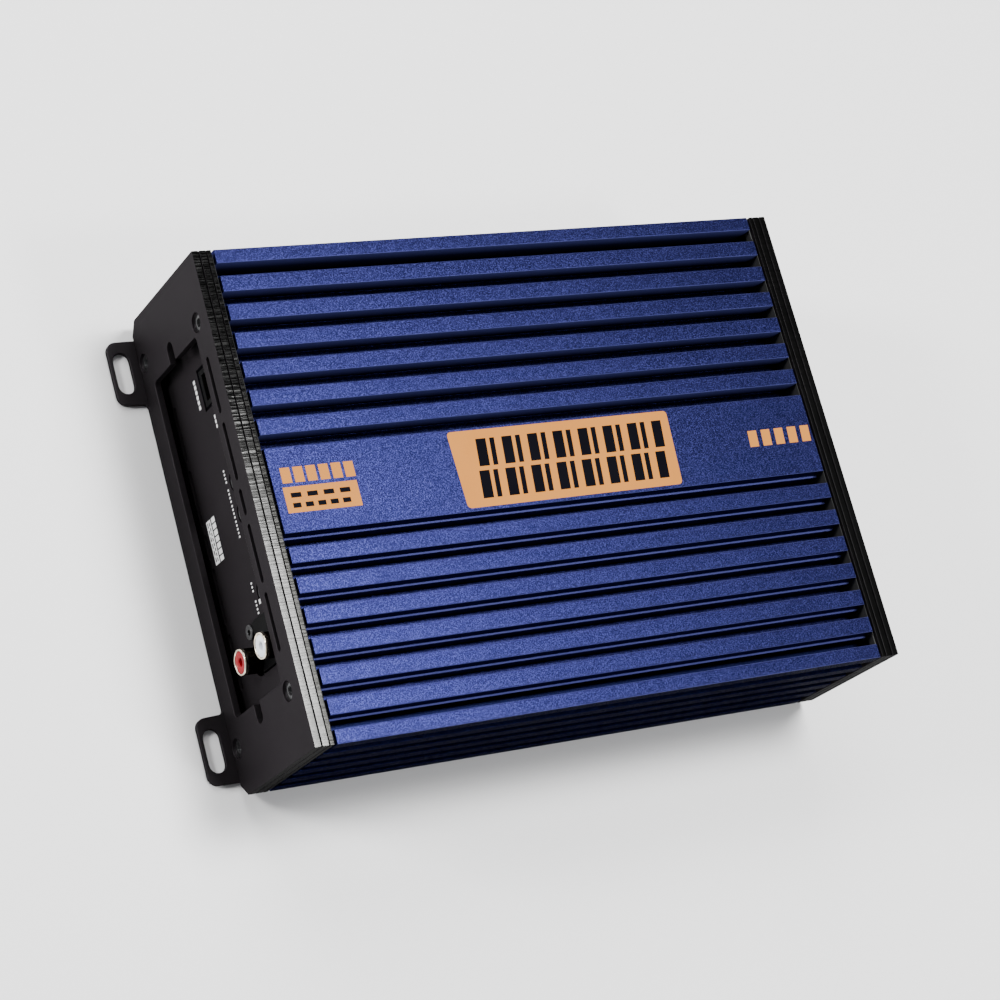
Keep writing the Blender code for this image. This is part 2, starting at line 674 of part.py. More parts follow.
FUSE_HALF = 13.5 * MM
FUSE_LOW_Z = 12.0 * MM
FUSE_HIGH_Z = 38.0 * MM
FUSE_FACE = 101.5 * MM
FUSE_BACK = 84.0 * MM


def build_terminal_panel():
    """The panel of the power end, with openings for the terminals and the fuse holder."""
    holes = []
    for poles in (POWER_Y, SPEAKER_Y):
        start, stop = terminal_edges(poles)
        holes.append(rectangle((start - GAP, BLOCK_LOW_Z - GAP), (stop + GAP, BLOCK_HIGH_Z + GAP)))
    holes.append(rectangle((FUSE_Y - FUSE_HALF - GAP, FUSE_LOW_Z - GAP),
                           (FUSE_Y + FUSE_HALF + GAP, FUSE_HIGH_Z + GAP)))
    build_end_shell(1, "right", "terminal_panel", holes)


def build_terminal_block(name, poles):
    """A moulded block with a wire entry and a clamp screw's well for each pole."""
    start, stop = terminal_edges(poles)
    block = box_part(name, (BLOCK_BACK, start, BLOCK_LOW_Z), (BLOCK_FACE, stop, BLOCK_HIGH_Z), BLACK_PLASTIC)
    for y in poles:
        bore(block, WIRE_RADIUS, 1, y, WIRE_Z, BLOCK_FACE - 13.5 * MM, BLOCK_FACE + 1 * MM, 24)
        bore(block, CLAMP_BORE, 1, y, CLAMP_Z, BLOCK_FACE - 8.5 * MM, BLOCK_FACE + 1 * MM, 20)


def build_clamp_screws():
    """The screws that clamp the wires, one in each well, each turning on its own axis."""
    top = -0.9 * MM
    tip = -8.0 * MM
    blank = add_object("clamp_blank", turned_mesh("clamp_blank", [
        (0, top), (CLAMP_RADIUS, top), (CLAMP_RADIUS, tip), (0, tip)], 20), NICKEL)
    cut(blank, cone_mesh("clamp_hex", 1.5 * MM, 1.5 * MM, top - 2.5 * MM, top + 1 * MM, 6))
    mesh = frozen_mesh(blank, "clamp_screw")
    for name, poles in (("power", POWER_Y), ("speaker", SPEAKER_Y)):
        for index, y in enumerate(poles, start=1):
            add_object(f"{name}_clamp_screw_{index}", mesh, NICKEL, outward(1, y, CLAMP_Z, BLOCK_FACE))


def build_fuses():
    """The fuse holder, and two blade fuses that pull straight out of it."""
    holder = box_part("fuse_holder", (FUSE_BACK, FUSE_Y - FUSE_HALF, FUSE_LOW_Z),
                      (FUSE_FACE, FUSE_Y + FUSE_HALF, FUSE_HIGH_Z), BLACK_PLASTIC)
    clear = 0.4 * MM
    half = FUSE_WIDTH / 2
    thick = FUSE_THICK / 2
    seat = 93.0 * MM
    blade_tip = 86.6 * MM
    blade_y = 6.6 * MM
    blade_half = 2.6 * MM
    blade_thick = 0.4 * MM
    for z in FUSE_Z.values():
        cut(holder, box_mesh("fuse_pocket", (seat, FUSE_Y - half - clear, z - thick - clear),
                             (FUSE_FACE + 1 * MM, FUSE_Y + half + clear, z + thick + clear)))
        for sign in (-1, 1):
            y = FUSE_Y + sign * blade_y
            cut(holder, box_mesh("blade_slot", (blade_tip - clear, y - blade_half - clear, z - blade_thick - clear),
                                 (seat + 1 * MM, y + blade_half + clear, z + blade_thick + clear)))
    body_low = seat + clear
    blank = add_object("fuse_blank", box_mesh("fuse_blank", (body_low, -half, -thick), (104.4 * MM, half, thick)),
                       FUSE_GREEN)
    for sign in (-1, 1):
        y = sign * blade_y
        cut(blank, box_mesh("blade", (blade_tip, y - blade_half, -blade_thick),
                            (body_low + 1 * MM, y + blade_half, blade_thick)), join=True)
    mesh = frozen_mesh(blank, "blade_fuse")
    for level, z in FUSE_Z.items():
        add_object(level + "_fuse", mesh, FUSE_GREEN, Matrix.Translation((0, FUSE_Y, z)))


# ---------------------------------------------------------------- inside
def build_boards():
    """The main board on the heatsink's bosses, and the upright control board."""
    box_part("main_board", (-96 * MM, -66.5 * MM, SHELF_Z), (96 * MM, 66.5 * MM, SHELF_Z + BOARD_THICK), BOARD_GREEN)
    box_part("control_board", (-BOARD_FACE, -52 * MM, DECK_Z), (-BOARD_FACE + BOARD_THICK, 52 * MM, 44.5 * MM),
             BOARD_GREEN)


def build_power_parts():
    """Toroid, output inductor, reservoir capacitors, transistors and their clamp bars."""
    minor = 5.2 * MM
    bpy.ops.mesh.primitive_torus_add(major_radius=14 * MM, minor_radius=minor, major_segments=24,
                                     minor_segments=10, location=(-45 * MM, 26 * MM, DECK_Z + minor))
    toroid = bpy.context.object
    toroid.name = "toroid_transformer"
    toroid.data.materials.append(COPPER)
    for owner in list(toroid.users_collection):
        owner.objects.unlink(toroid)
    PARTS.objects.link(toroid)

    drum = turned_mesh("output_inductor", [
        (0, 17 * MM), (12 * MM, 17 * MM), (12 * MM, 14.5 * MM), (10 * MM, 14.5 * MM), (10 * MM, 2.5 * MM),
        (12 * MM, 2.5 * MM), (12 * MM, 0), (0, 0)], 24)
    add_object("output_inductor", drum, COPPER, Matrix.Translation((-45 * MM, -28 * MM, DECK_Z)))

    can = turned_mesh("capacitor", [
        (0, 21.5 * MM), (8.4 * MM, 21.5 * MM), (9 * MM, 20.9 * MM), (9 * MM, 2.6 * MM), (8.5 * MM, 2.0 * MM),
        (9 * MM, 1.4 * MM), (9 * MM, 0), (0, 0)], 20)
    for index, (x, y) in enumerate(((6, -24), (28, -24), (50, -24)), start=1):
        add_object(f"capacitor_{index}", can, SLEEVE, Matrix.Translation((x * MM, y * MM, DECK_Z)))

    low = 64.7 * MM
    high = WALL_INNER_Y - GAP
    transistor_x = [x * MM for x in (2.0, 38.0)]
    body = [(-5, 6), (-3.1, 6), (-3.1, 0), (-1.9, 0), (-1.9, 6), (-0.6, 6), (-0.6, 0), (0.6, 0), (0.6, 6), (1.9, 6),
            (1.9, 0), (3.1, 0), (3.1, 6), (5, 6), (5, 21), (-5, 21)]
    outline = [(a * MM, b * MM) for a, b in body]
    stand = Matrix.Rotation(math.pi / 2, 4, "X")
    mesh = flat_mesh("transistor", [outline], low, high, upright=False)[0]
    depth = (low + high) / 2
    for sign, wall in ((-1, "front"), (1, "back")):
        for index, x in enumerate(transistor_x, start=1):
            place = Matrix.Translation((x, sign * depth, DECK_Z)) @ stand
            add_object(f"{wall}_transistor_{index}", mesh, BLACK_PLASTIC, place)
        edges = sorted((sign * 60.6 * MM, sign * (low - GAP)))
        box_part(f"{wall}_clamp_bar", (-6 * MM, edges[0], DECK_Z + 10 * MM), (46 * MM, edges[1], DECK_Z + 17 * MM),
                 ALUMINIUM, bevel=0.6 * MM)


build_heatsink()
build_base_plate()
build_control_panel()
build_terminal_panel()
build_screws()
build_rca_block()
build_remote_socket()
build_leds()
build_potentiometers()
build_terminal_block("power_terminal", POWER_Y)
build_terminal_block("speaker_terminal", SPEAKER_Y)
build_clamp_screws()
build_fuses()
build_boards()
build_power_parts()
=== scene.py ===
"""Looks of a compact car amplifier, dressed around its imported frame.

Each sub-assembly is a class that makes its surfaces and gives them their finishes. Lengths are
metres, +Z is up, and X runs along the fins from the control end (-X) to the power end (+X).
"""

import logging
import math
from dataclasses import dataclass, field
from enum import Enum
from typing import Iterable, Optional, Sequence

import bmesh
import bpy
import numpy as np
from mathutils import Matrix, Vector


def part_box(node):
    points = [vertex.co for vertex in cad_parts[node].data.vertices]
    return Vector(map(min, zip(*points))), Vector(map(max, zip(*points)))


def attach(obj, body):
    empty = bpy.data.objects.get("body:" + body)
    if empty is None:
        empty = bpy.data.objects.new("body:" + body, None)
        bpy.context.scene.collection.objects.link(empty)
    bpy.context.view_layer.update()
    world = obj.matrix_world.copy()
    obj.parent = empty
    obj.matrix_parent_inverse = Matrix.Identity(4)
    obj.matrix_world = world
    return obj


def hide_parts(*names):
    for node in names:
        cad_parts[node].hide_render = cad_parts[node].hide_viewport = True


MM = 0.001
CHASSIS = "chassis"
LOG = logging.getLogger("amplifier")
GRAIN_SHARE = 0.55
DRIFT_SHARE = 0.45
SMUDGE_SCALE = 38.0
MERGE_DISTANCE = 0.002 * MM
FLAT_ANGLE = math.radians(1.0)
SHARP_ANGLE = math.radians(40.0)
RIM_BAND = 0.05 * MM
DARK_RIM = (0.02, 0.02, 0.02)

Colour = tuple[float, float, float]
Material = bpy.types.Material
Object = bpy.types.Object


class Facing(Enum):
    """The way a turned or printed piece's own +Z points in the world, as matrix columns a, b, h."""

    LEFT = ((0, 0, -1), (0, 1, 0), (1, 0, 0))
    RIGHT = ((0, 0, 1), (0, 1, 0), (-1, 0, 0))
    DOWN = ((1, 0, 0), (0, -1, 0), (0, 0, -1))


class Grain(Enum):
    """How a pattern is stretched along X, Y and Z."""

    EVEN = (1.0, 1.0, 1.0)
    ALONG_X = (0.04, 1.0, 1.0)


# ---------------------------------------------------------------- shader helpers
class Board:
    """A material's or group's node tree, with short ways to place and join its nodes."""

    def __init__(self, tree: bpy.types.NodeTree) -> None:
        """Keeps the tree."""
        self.tree = tree

    def add(self, kind: str, inputs: Optional[dict] = None, **settings: object) -> bpy.types.Node:
        """Adds a node.

        Args:
            kind: the node's type name, without its ShaderNode prefix.
            inputs: values or output sockets for its inputs, by name or number.
            settings: its own properties.

        Returns:
            The new node.
        """
        node = self.tree.nodes.new("ShaderNode" + kind)
        for key, value in settings.items():
            setattr(node, key, value)
        for key, value in (inputs or {}).items():
            if isinstance(value, bpy.types.NodeSocket):
                self.tree.links.new(value, node.inputs[key])
            else:
                node.inputs[key].default_value = value
        return node

    def ramp(self, value: bpy.types.NodeSocket, low: float, high: float, out_low: float = 0.0,
             out_high: float = 1.0) -> bpy.types.NodeSocket:
        """Maps a value from low..high to out_low..out_high, and keeps it inside."""
        node = self.add("MapRange", {"Value": value, "From Min": low, "From Max": high,
                                     "To Min": out_low, "To Max": out_high})
        return node.outputs[0]

    def maths(self, operation: str, first: object, second: object) -> bpy.types.NodeSocket:
        """One Math node's result."""
        return self.add("Math", {0: first, 1: second}, operation=operation).outputs[0]

    def mix(self, factor: object, first: object, second: object) -> bpy.types.NodeSocket:
        """A colour between two others."""
        node = self.add("Mix", data_type="RGBA")
        for socket, value in zip((node.inputs[0], node.inputs[6], node.inputs[7]), (factor, first, second)):
            if isinstance(value, bpy.types.NodeSocket):
                self.tree.links.new(value, socket)
            else:
                socket.default_value = value
        return node.outputs[2]

    def stretched(self, stretch: Sequence[float]) -> bpy.types.NodeSocket:
        """Object coordinates, with each axis multiplied by its own factor."""
        place = self.add("TexCoord").outputs["Object"]
        return self.add("Mapping", {"Vector": place, "Scale": tuple(stretch)}).outputs[0]


class Groups:
    """Node groups that several finishes share, each built once."""

    made: dict[str, bpy.types.NodeTree] = {}

    @classmethod
    def new_tree(cls, name: str, inputs: Iterable[tuple[str, str]], outputs: Iterable[str]) -> bpy.types.NodeTree:
        """Makes an empty group with its sockets.

        Args:
            name: the group's name.
            inputs: (name, socket type) pairs.
            outputs: names of its outputs, each a plain value.

        Returns:
            The group's tree.
        """
        tree = bpy.data.node_groups.new(name, "ShaderNodeTree")
        for label, kind in inputs:
            tree.interface.new_socket(label, in_out="INPUT", socket_type=kind)
        for label in outputs:
            tree.interface.new_socket(label, in_out="OUTPUT", socket_type="NodeSocketFloat")
        cls.made[name] = tree
        return tree

    @classmethod
    def surface(cls) -> bpy.types.NodeTree:
        """Broad drift and fine grain of one surface, each 0 to 1."""
        name = "surface_texture"
        if name in cls.made:
            return cls.made[name]
        tree = cls.new_tree(name, (("Vector", "NodeSocketVector"), ("Grain Scale", "NodeSocketFloat"),
                                   ("Drift Scale", "NodeSocketFloat")), ("Drift", "Grain"))
        board = Board(tree)
        enter = tree.nodes.new("NodeGroupInput")
        leave = tree.nodes.new("NodeGroupOutput")
        drift = board.add("TexNoise", {"Vector": enter.outputs[0], "Scale": enter.outputs[2], "Detail": 2.0})
        grain = board.add("TexNoise", {"Vector": enter.outputs[0], "Scale": enter.outputs[1], "Detail": 3.0,
                                       "Roughness": 0.62})
        results = (board.ramp(drift.outputs[0], 0.32, 0.68), board.ramp(grain.outputs[0], 0.3, 0.7))
        for socket, result in zip(leave.inputs, results):
            tree.links.new(result, socket)
        return tree

    @classmethod
    def handling(cls) -> bpy.types.NodeTree:
        """Faint smudges of handling, 0 to 1."""
        name = "handling_marks"
        if name in cls.made:
            return cls.made[name]
        tree = cls.new_tree(name, (("Vector", "NodeSocketVector"), ("Size", "NodeSocketFloat")), ("Smudge",))
        board = Board(tree)
        enter = tree.nodes.new("NodeGroupInput")
        leave = tree.nodes.new("NodeGroupOutput")
        smudge = board.add("TexNoise", {"Vector": enter.outputs[0], "Scale": enter.outputs[1], "Detail": 4.0,
                                        "Distortion": 1.2})
        tree.links.new(board.ramp(smudge.outputs[0], 0.5, 0.72), leave.inputs[0])
        return tree


@dataclass(frozen=True)
class Finish:
    """A surface whose colour drifts, whose gloss is mottled and whose grain stands up a little."""

    name: str
    colour: Colour
    drift: Colour
    gloss: tuple[float, float]
    metallic: float = 0.0
    grain: Grain = Grain.EVEN
    grain_size: float = 0.3 * MM
    drift_size: float = 25.0 * MM
    depth: float = 0.01 * MM
    coat: float = 0.0
    smudge: float = 0.06
    sheen_level: float = 0.5
    rim_tint: Colour = (1.0, 1.0, 1.0)

    def paint(self, board: Board, base: bpy.types.NodeSocket, marks: bpy.types.Node) -> bpy.types.NodeSocket:
        """Adds this finish's own pattern to its colour.

        Args:
            board: the material's tree.
            base: the colour so far.
            marks: the surface texture's node.

        Returns:
            The colour to use.
        """
        return base

    def relief(self, board: Board, marks: bpy.types.Node) -> bpy.types.NodeSocket:
        """The height that the bump reads, 0 to 1."""
        return marks.outputs["Grain"]

    def material(self) -> Material:
        """Builds the material, or finds the one built before."""
        found = bpy.data.materials.get(self.name)
        if found:
            return found
        made = bpy.data.materials.new(self.name)
        made.use_nodes = True
        board = Board(made.node_tree)
        shader = made.node_tree.nodes["Principled BSDF"]
        place = board.stretched(self.grain.value)
        marks = board.add("Group", node_tree=Groups.surface())
        made.node_tree.links.new(place, marks.inputs["Vector"])
        marks.inputs["Grain Scale"].default_value = 1.0 / self.grain_size
        marks.inputs["Drift Scale"].default_value = 1.0 / self.drift_size
        hands = board.add("Group", node_tree=Groups.handling())
        made.node_tree.links.new(board.stretched(Grain.EVEN.value), hands.inputs["Vector"])
        hands.inputs["Size"].default_value = SMUDGE_SCALE

        half_grain = board.maths("MULTIPLY", marks.outputs["Grain"], GRAIN_SHARE)
        blend = board.maths("MULTIPLY_ADD", marks.outputs["Drift"], DRIFT_SHARE)
        made.node_tree.links.new(half_grain, blend.node.inputs[2])
        base = board.mix(blend, (*self.colour, 1.0), (*self.drift, 1.0))
        base = self.paint(board, base, marks)
        made.node_tree.links.new(base, shader.inputs["Base Color"])

        rough = board.ramp(marks.outputs["Grain"], 0.0, 1.0, *self.gloss)
        smudged = board.maths("MULTIPLY_ADD", hands.outputs["Smudge"], self.smudge)
        made.node_tree.links.new(rough, smudged.node.inputs[2])
        made.node_tree.links.new(smudged, shader.inputs["Roughness"])

        shader.inputs["Metallic"].default_value = self.metallic
        shader.inputs["Coat Weight"].default_value = self.coat
        shader.inputs["Specular IOR Level"].default_value = self.sheen_level
        shader.inputs["Specular Tint"].default_value = (*self.rim_tint, 1.0)
        bump = board.add("Bump", {"Height": self.relief(board, marks), "Strength": 1.0, "Distance": self.depth})
        made.node_tree.links.new(bump.outputs[0], shader.inputs["Normal"])
        return made


@dataclass(frozen=True)
class Anodised(Finish):
    """Bead-blasted, dyed aluminium: dimples that shine paler and pits that stay darker."""

    def paint(self, board: Board, base: bpy.types.NodeSocket, marks: bpy.types.Node) -> bpy.types.NodeSocket:
        """Lightens the tops of the grain, and darkens its pits."""
        specks = board.add("TexNoise", {"Vector": board.stretched(Grain.EVEN.value),
                                        "Scale": 1.0 / self.grain_size, "Detail": 1.0})
        crest = board.ramp(specks.outputs[0], 0.5, 0.68)
        pit = board.ramp(specks.outputs[0], 0.48, 0.3, 0.0, 0.8)
        pale = tuple(c * 2.4 + 0.005 for c in self.drift)
        lit = board.mix(crest, base, (*pale, 1.0))
        return board.mix(pit, lit, tuple(c * 0.4 for c in self.colour) + (1.0,))


@dataclass(frozen=True)
class ShadedFlank(Finish):
    """The side of a fin, with painted shade that grows darker towards the groove's floor."""

    top: float = 57.4 * MM
    low: float = 52.5 * MM

    def paint(self, board: Board, base: bpy.types.NodeSocket, marks: bpy.types.Node) -> bpy.types.NodeSocket:
        """Darkens the colour from the fin's top down, as painted shade."""
        place = board.add("SeparateXYZ", {0: board.add("TexCoord").outputs["Object"]})
        sunk = board.ramp(place.outputs[2], self.top, self.low)
        return board.mix(sunk, base, tuple(c * 0.08 for c in self.colour) + (1.0,))


@dataclass(frozen=True)
class ShearedEdge(Finish):
    """The cut edge of a sheet, hatched through its thickness, with a painted reflection that brightens it towards its
    front end.
    """

    pitch: float = 0.45 * MM
    painted_reflection: Colour = (0.05, 0.05, 0.049)
    reflection_span: tuple[float, float] = (0.045, -0.025)

    def reflection_fade(self, board: Board) -> bpy.types.NodeSocket:
        """Rises from 0 at the first place of the painted reflection along Y to 1 at the second."""
        place = board.add("SeparateXYZ", {0: board.add("TexCoord").outputs["Object"]})
        return board.ramp(place.outputs[1], *self.reflection_span)

    def hatching(self, board: Board) -> bpy.types.NodeSocket:
        """Ridges across the sheet, of uneven width and strength."""
        noise = board.add("TexNoise", {"Vector": board.stretched((0.05, 1.0, 0.05)), "Scale": 1.0 / self.pitch,
                                       "Detail": 1.0, "Roughness": 0.5})
        return board.ramp(noise.outputs[0], 0.36, 0.64)

    def paint(self, board: Board, base: bpy.types.NodeSocket, marks: bpy.types.Node) -> bpy.types.NodeSocket:
        """Paints the reflection in, brighter towards the front and first on the ridges' crests."""
        crest = board.ramp(self.hatching(board), 0.35, 1.0, -0.45, 0.25)
        bare = board.maths("ADD", board.ramp(self.reflection_fade(board), 0.0, 1.0, -0.1, 1.4), crest)
        return board.mix(board.ramp(bare, 0.0, 1.0), base, (*self.painted_reflection, 1.0))

    def relief(self, board: Board, marks: bpy.types.Node) -> bpy.types.NodeSocket:
        """The hatching, shallower where the painted reflection is bright."""
        left = board.ramp(self.reflection_fade(board), 0.0, 1.0, 1.0, 0.15)
        return board.maths("MULTIPLY", self.hatching(board), left)


@dataclass(frozen=True)
class Winding(Finish):
    """Enamelled wire, laid in rings about an upright axis through a centre."""

    centre: tuple[float, float] = (0.0, 0.0)
    turns: float = 60.0

    def relief(self, board: Board, marks: bpy.types.Node) -> bpy.types.NodeSocket:
        """Rounded ridges, one for each turn, from the angle about the centre."""
        place = board.add("TexCoord").outputs["Object"]
        shifted = board.add("Mapping", {"Vector": place, "Location": (-self.centre[0], -self.centre[1], 0.0)})
        parts = board.add("SeparateXYZ", {0: shifted.outputs[0]})
        angle = board.maths("ARCTAN2", parts.outputs[1], parts.outputs[0])
        wave = board.maths("SINE", board.maths("MULTIPLY", angle, self.turns), 0.0)
        return board.ramp(wave, -1.0, 1.0)


@dataclass(frozen=True)
class CircuitBoard(Finish):
    """Green solder mask over copper tracks, with dots of solder."""

    def paint(self, board: Board, base: bpy.types.NodeSocket, marks: bpy.types.Node) -> bpy.types.NodeSocket:
        """Tracks from a blocky cell pattern, and pads at the cells' points."""
        place = board.stretched((1.0, 1.0, 1.0))
        cells = board.add("TexVoronoi", {"Vector": place, "Scale": 160.0}, distance="CHEBYCHEV")
        track = board.ramp(cells.outputs[0], 0.42, 0.46)
        pad = board.ramp(cells.outputs[0], 0.12, 0.09)
        lit = board.mix(track, base, (0.03, 0.2, 0.075, 1.0))
        return board.mix(pad, lit, (0.5, 0.49, 0.46, 1.0))


class Finishes:
    """Every finish on the amplifier."""

    BLUE = Anodised("blue_anodised", (0.0066, 0.0072, 0.034), (0.0088, 0.0096, 0.042), (0.28, 0.38), 0.8,
                    grain_size=0.36 * MM, drift_size=60 * MM, depth=0.02 * MM, sheen_level=0.25,
                    rim_tint=(0.12, 0.14, 0.6))
    # A darker copy of the blue anodising for the side walls: painted shade.
    SHADED_WALL = Anodised("blue_anodised_wall_painted_shade", (0.0036, 0.0044, 0.022), (0.0052, 0.0064, 0.03), (0.36, 0.48), 0.95,
                    drift_size=60 * MM, depth=0.02 * MM, sheen_level=0.2, rim_tint=(0.01, 0.015, 0.06))
    # A lighter, more diffuse copy of the blue anodising for the fins' sides (painted light), darkened towards the
    # groove floor (painted shade).
    PAINTED_LIGHT_FLANK = ShadedFlank("blue_anodised_flank_painted_light", (0.062, 0.068, 0.22), (0.074, 0.082, 0.26), (0.5, 0.62),
                  drift_size=60 * MM, sheen_level=0.1)
    # A paler copy of the blue anodising for the ledges and the fins' top edges: painted highlight.
    HIGHLIGHT_BLUE = Finish("blue_anodised_painted_highlight", (0.055, 0.063, 0.24), (0.085, 0.09, 0.28), (0.4, 0.5), 0.5,
                       sheen_level=0.25)
    BLACK = Finish("black_satin_paint", (0.021, 0.0185, 0.0205), (0.027, 0.024, 0.0265), (0.42, 0.52), 0.75,
                   depth=0.008 * MM, sheen_level=0.15, rim_tint=(0.25, 0.23, 0.25))
    # The sheet edges' colour fades to a paler painted reflection towards the front end; on the power end it stays near
    # black.
    EDGE = ShearedEdge("sheet_edge_painted_reflection", (0.0016, 0.0016, 0.0016), (0.003, 0.003, 0.003), (0.22, 0.32), 0.9,
                       grain_size=0.25 * MM, depth=0.12 * MM, sheen_level=0.2, rim_tint=DARK_RIM,
                       pitch=0.5 * MM)
    PANEL_EDGE = ShearedEdge("panel_edge_painted_reflection", (0.002, 0.002, 0.002), (0.005, 0.005, 0.005), (0.2, 0.3), 0.9,
                             grain_size=0.35 * MM, depth=0.25 * MM, sheen_level=0.2,
                             rim_tint=DARK_RIM, pitch=0.7 * MM, painted_reflection=(0.02, 0.02, 0.019))
    BLACK_EDGE = ShearedEdge("painted_sheet_edge", (0.003, 0.003, 0.003), (0.005, 0.005, 0.005), (0.3, 0.4),
                             0.9, grain_size=0.25 * MM, depth=0.05 * MM, sheen_level=0.2,
                             rim_tint=DARK_RIM, pitch=0.8 * MM, painted_reflection=(0.004, 0.004, 0.004))
    PLASTIC = Finish("black_moulded_plastic", (0.004, 0.004, 0.0045), (0.007, 0.007, 0.0075), (0.34, 0.5), 0.7,
                     grain_size=0.25 * MM, sheen_level=0.2, rim_tint=(0.25, 0.25, 0.25))
    WHITE = Finish("white_moulded_plastic", (0.78, 0.8, 0.84), (0.84, 0.86, 0.9), (0.25, 0.4),
                   grain_size=0.4 * MM, depth=0.004 * MM, coat=0.2)
    RED = Finish("red_moulded_plastic", (0.24, 0.0, 0.004), (0.3, 0.001, 0.006), (0.35, 0.5),
                 grain_size=0.4 * MM, depth=0.004 * MM, sheen_level=0.2)
    SCREW = Finish("black_screw_steel", (0.02, 0.02, 0.021), (0.05, 0.05, 0.052), (0.26, 0.42), 0.8,
                   grain_size=0.2 * MM)
    NICKEL = Finish("nickel_plate", (0.82, 0.74, 0.6), (0.7, 0.62, 0.48), (0.12, 0.22), 1.0, depth=0.004 * MM)
    # A darker copy of the nickel plate for the phono jacks' barrels: painted shade.
    SHADED_NICKEL = Finish("nickel_plate_painted_shade", (0.035, 0.03, 0.02), (0.055, 0.046, 0.03), (0.16, 0.28), 1.0,
                         depth=0.004 * MM, rim_tint=(0.2, 0.18, 0.14))
    GOLD = Finish("gold_plate", (0.8, 0.52, 0.16), (0.68, 0.42, 0.12), (0.16, 0.28), 1.0, grain_size=0.2 * MM,
                  depth=0.004 * MM)
    # Rubber for the gaskets, also used for the dark sheet of painted shade behind the power end's vents.
    RUBBER_AND_SHADE = Finish("gasket_rubber", (0.006, 0.006, 0.006), (0.011, 0.011, 0.011), (0.7, 0.88),
                    grain_size=0.5 * MM, depth=0.02 * MM)
    WHITE_INK = Finish("white_print", (0.62, 0.62, 0.62), (0.74, 0.74, 0.74), (0.45, 0.6), grain_size=0.15 * MM,
                       depth=0.003 * MM)
    GOLD_INK = Finish("gold_print", (0.36, 0.125, 0.012), (0.42, 0.16, 0.02), (0.5, 0.62), 0.1,
                      grain_size=0.2 * MM, drift_size=30 * MM, depth=0.005 * MM, sheen_level=0.2)
    # Dark print, also used for the painted shade around the remote socket.
    DARK_PRINT_AND_SHADE = Finish("black_print_and_painted_shade", (0.002, 0.002, 0.003), (0.004, 0.004, 0.006), (0.5, 0.65), 0.9,
                      grain_size=0.25 * MM, depth=0.005 * MM, sheen_level=0.1, rim_tint=DARK_RIM)
    LAMP_GREEN = Finish("green_lamp_lens", (0.08, 0.42, 0.14), (0.16, 0.6, 0.24), (0.08, 0.16), coat=0.6,
                        grain_size=0.8 * MM, depth=0.003 * MM)
    LAMP_RED = Finish("red_lamp_lens", (0.45, 0.02, 0.015), (0.62, 0.05, 0.035), (0.08, 0.16), coat=0.6,
                      grain_size=0.8 * MM, depth=0.003 * MM)
    FUSE = Finish("green_fuse_body", (0.03, 0.34, 0.1), (0.07, 0.48, 0.17), (0.14, 0.26), coat=0.5,
                  grain_size=1.0 * MM, depth=0.004 * MM)
    SLEEVE = Finish("capacitor_sleeve", (0.02, 0.024, 0.06), (0.03, 0.036, 0.09), (0.2, 0.32), coat=0.3,
                    grain_size=0.6 * MM, depth=0.006 * MM)
    TOROID = Winding("toroid_winding", (0.42, 0.13, 0.035), (0.55, 0.2, 0.06), (0.22, 0.35), 0.85,
                     depth=0.35 * MM, centre=(-0.045, 0.026), turns=90.0, grain_size=0.35 * MM)
    COIL = Winding("inductor_winding", (0.4, 0.13, 0.04), (0.52, 0.19, 0.06), (0.22, 0.35), 0.85,
                   depth=0.25 * MM, centre=(-0.045, -0.028), turns=70.0, grain_size=0.35 * MM)
    GREEN_BOARD = CircuitBoard("circuit_board", (0.01, 0.1, 0.035), (0.016, 0.14, 0.05), (0.25, 0.38),
                               grain_size=0.4 * MM, coat=0.3)
    MILLED = Finish("plain_aluminium", (0.6, 0.6, 0.61), (0.52, 0.52, 0.53), (0.3, 0.42), 1.0,
                    grain=Grain.ALONG_X)


# ---------------------------------------------------------------- mesh helpers
def make_object(name: str, points: np.ndarray, faces: Sequence[Sequence[int]], finish: Finish) -> Object:
    """Puts points and faces into a new object at the origin.

    Args:
        name: the object's name.
        points: one row of x, y, z for each vertex.
        faces: vertex numbers of each face, seen from outside.
        finish: its surface.

    Returns:
        The object, linked to the scene.
    """
    mesh = bpy.data.meshes.new(name)
    mesh.from_pydata(points.tolist(), [], [list(face) for face in faces])
    mesh.materials.append(finish.material())
    made = bpy.data.objects.new(name, mesh)
    bpy.context.scene.collection.objects.link(made)
    return made


def weld(made: Object, distance: float = 0.0005 * MM) -> None:
    """Merges points that lie on each other, as at a turned piece's poles."""
    work = bmesh.new()
    work.from_mesh(made.data)
    bmesh.ops.remove_doubles(work, verts=work.verts, dist=distance)
    work.to_mesh(made.data)
    work.free()


def settle_shading(made: Object) -> None:
    """Smooth shading in which each corner takes the normal of the largest face beside it."""
    made.data.shade_smooth()
    weighted = made.modifiers.new("shading", "WEIGHTED_NORMAL")
    weighted.weight = 60


def grid_faces(rows: int, columns: int) -> np.ndarray:
    """Quads between neighbouring rows of a grid that closes on itself along its columns."""
    i, j = np.meshgrid(np.arange(rows - 1), np.arange(columns), indexing="ij")
    nxt = (j + 1) % columns
    return np.stack((i * columns + j, i * columns + nxt, (i + 1) * columns + nxt, (i + 1) * columns + j),
                    axis=-1).reshape(-1, 4)


def seat_points(local: np.ndarray, facing: Facing, seat: Sequence[float]) -> np.ndarray:
    """Turns local points so that their +Z points the given way, and moves them to a seat."""
    return local @ np.array(facing.value, float).T + np.array(seat, float)


@dataclass(frozen=True)
class Ring:
    """One ring of a turned piece: its radius and height, and whether it is a hexagon."""

    radius: float
    height: float
    hexagonal: bool = False


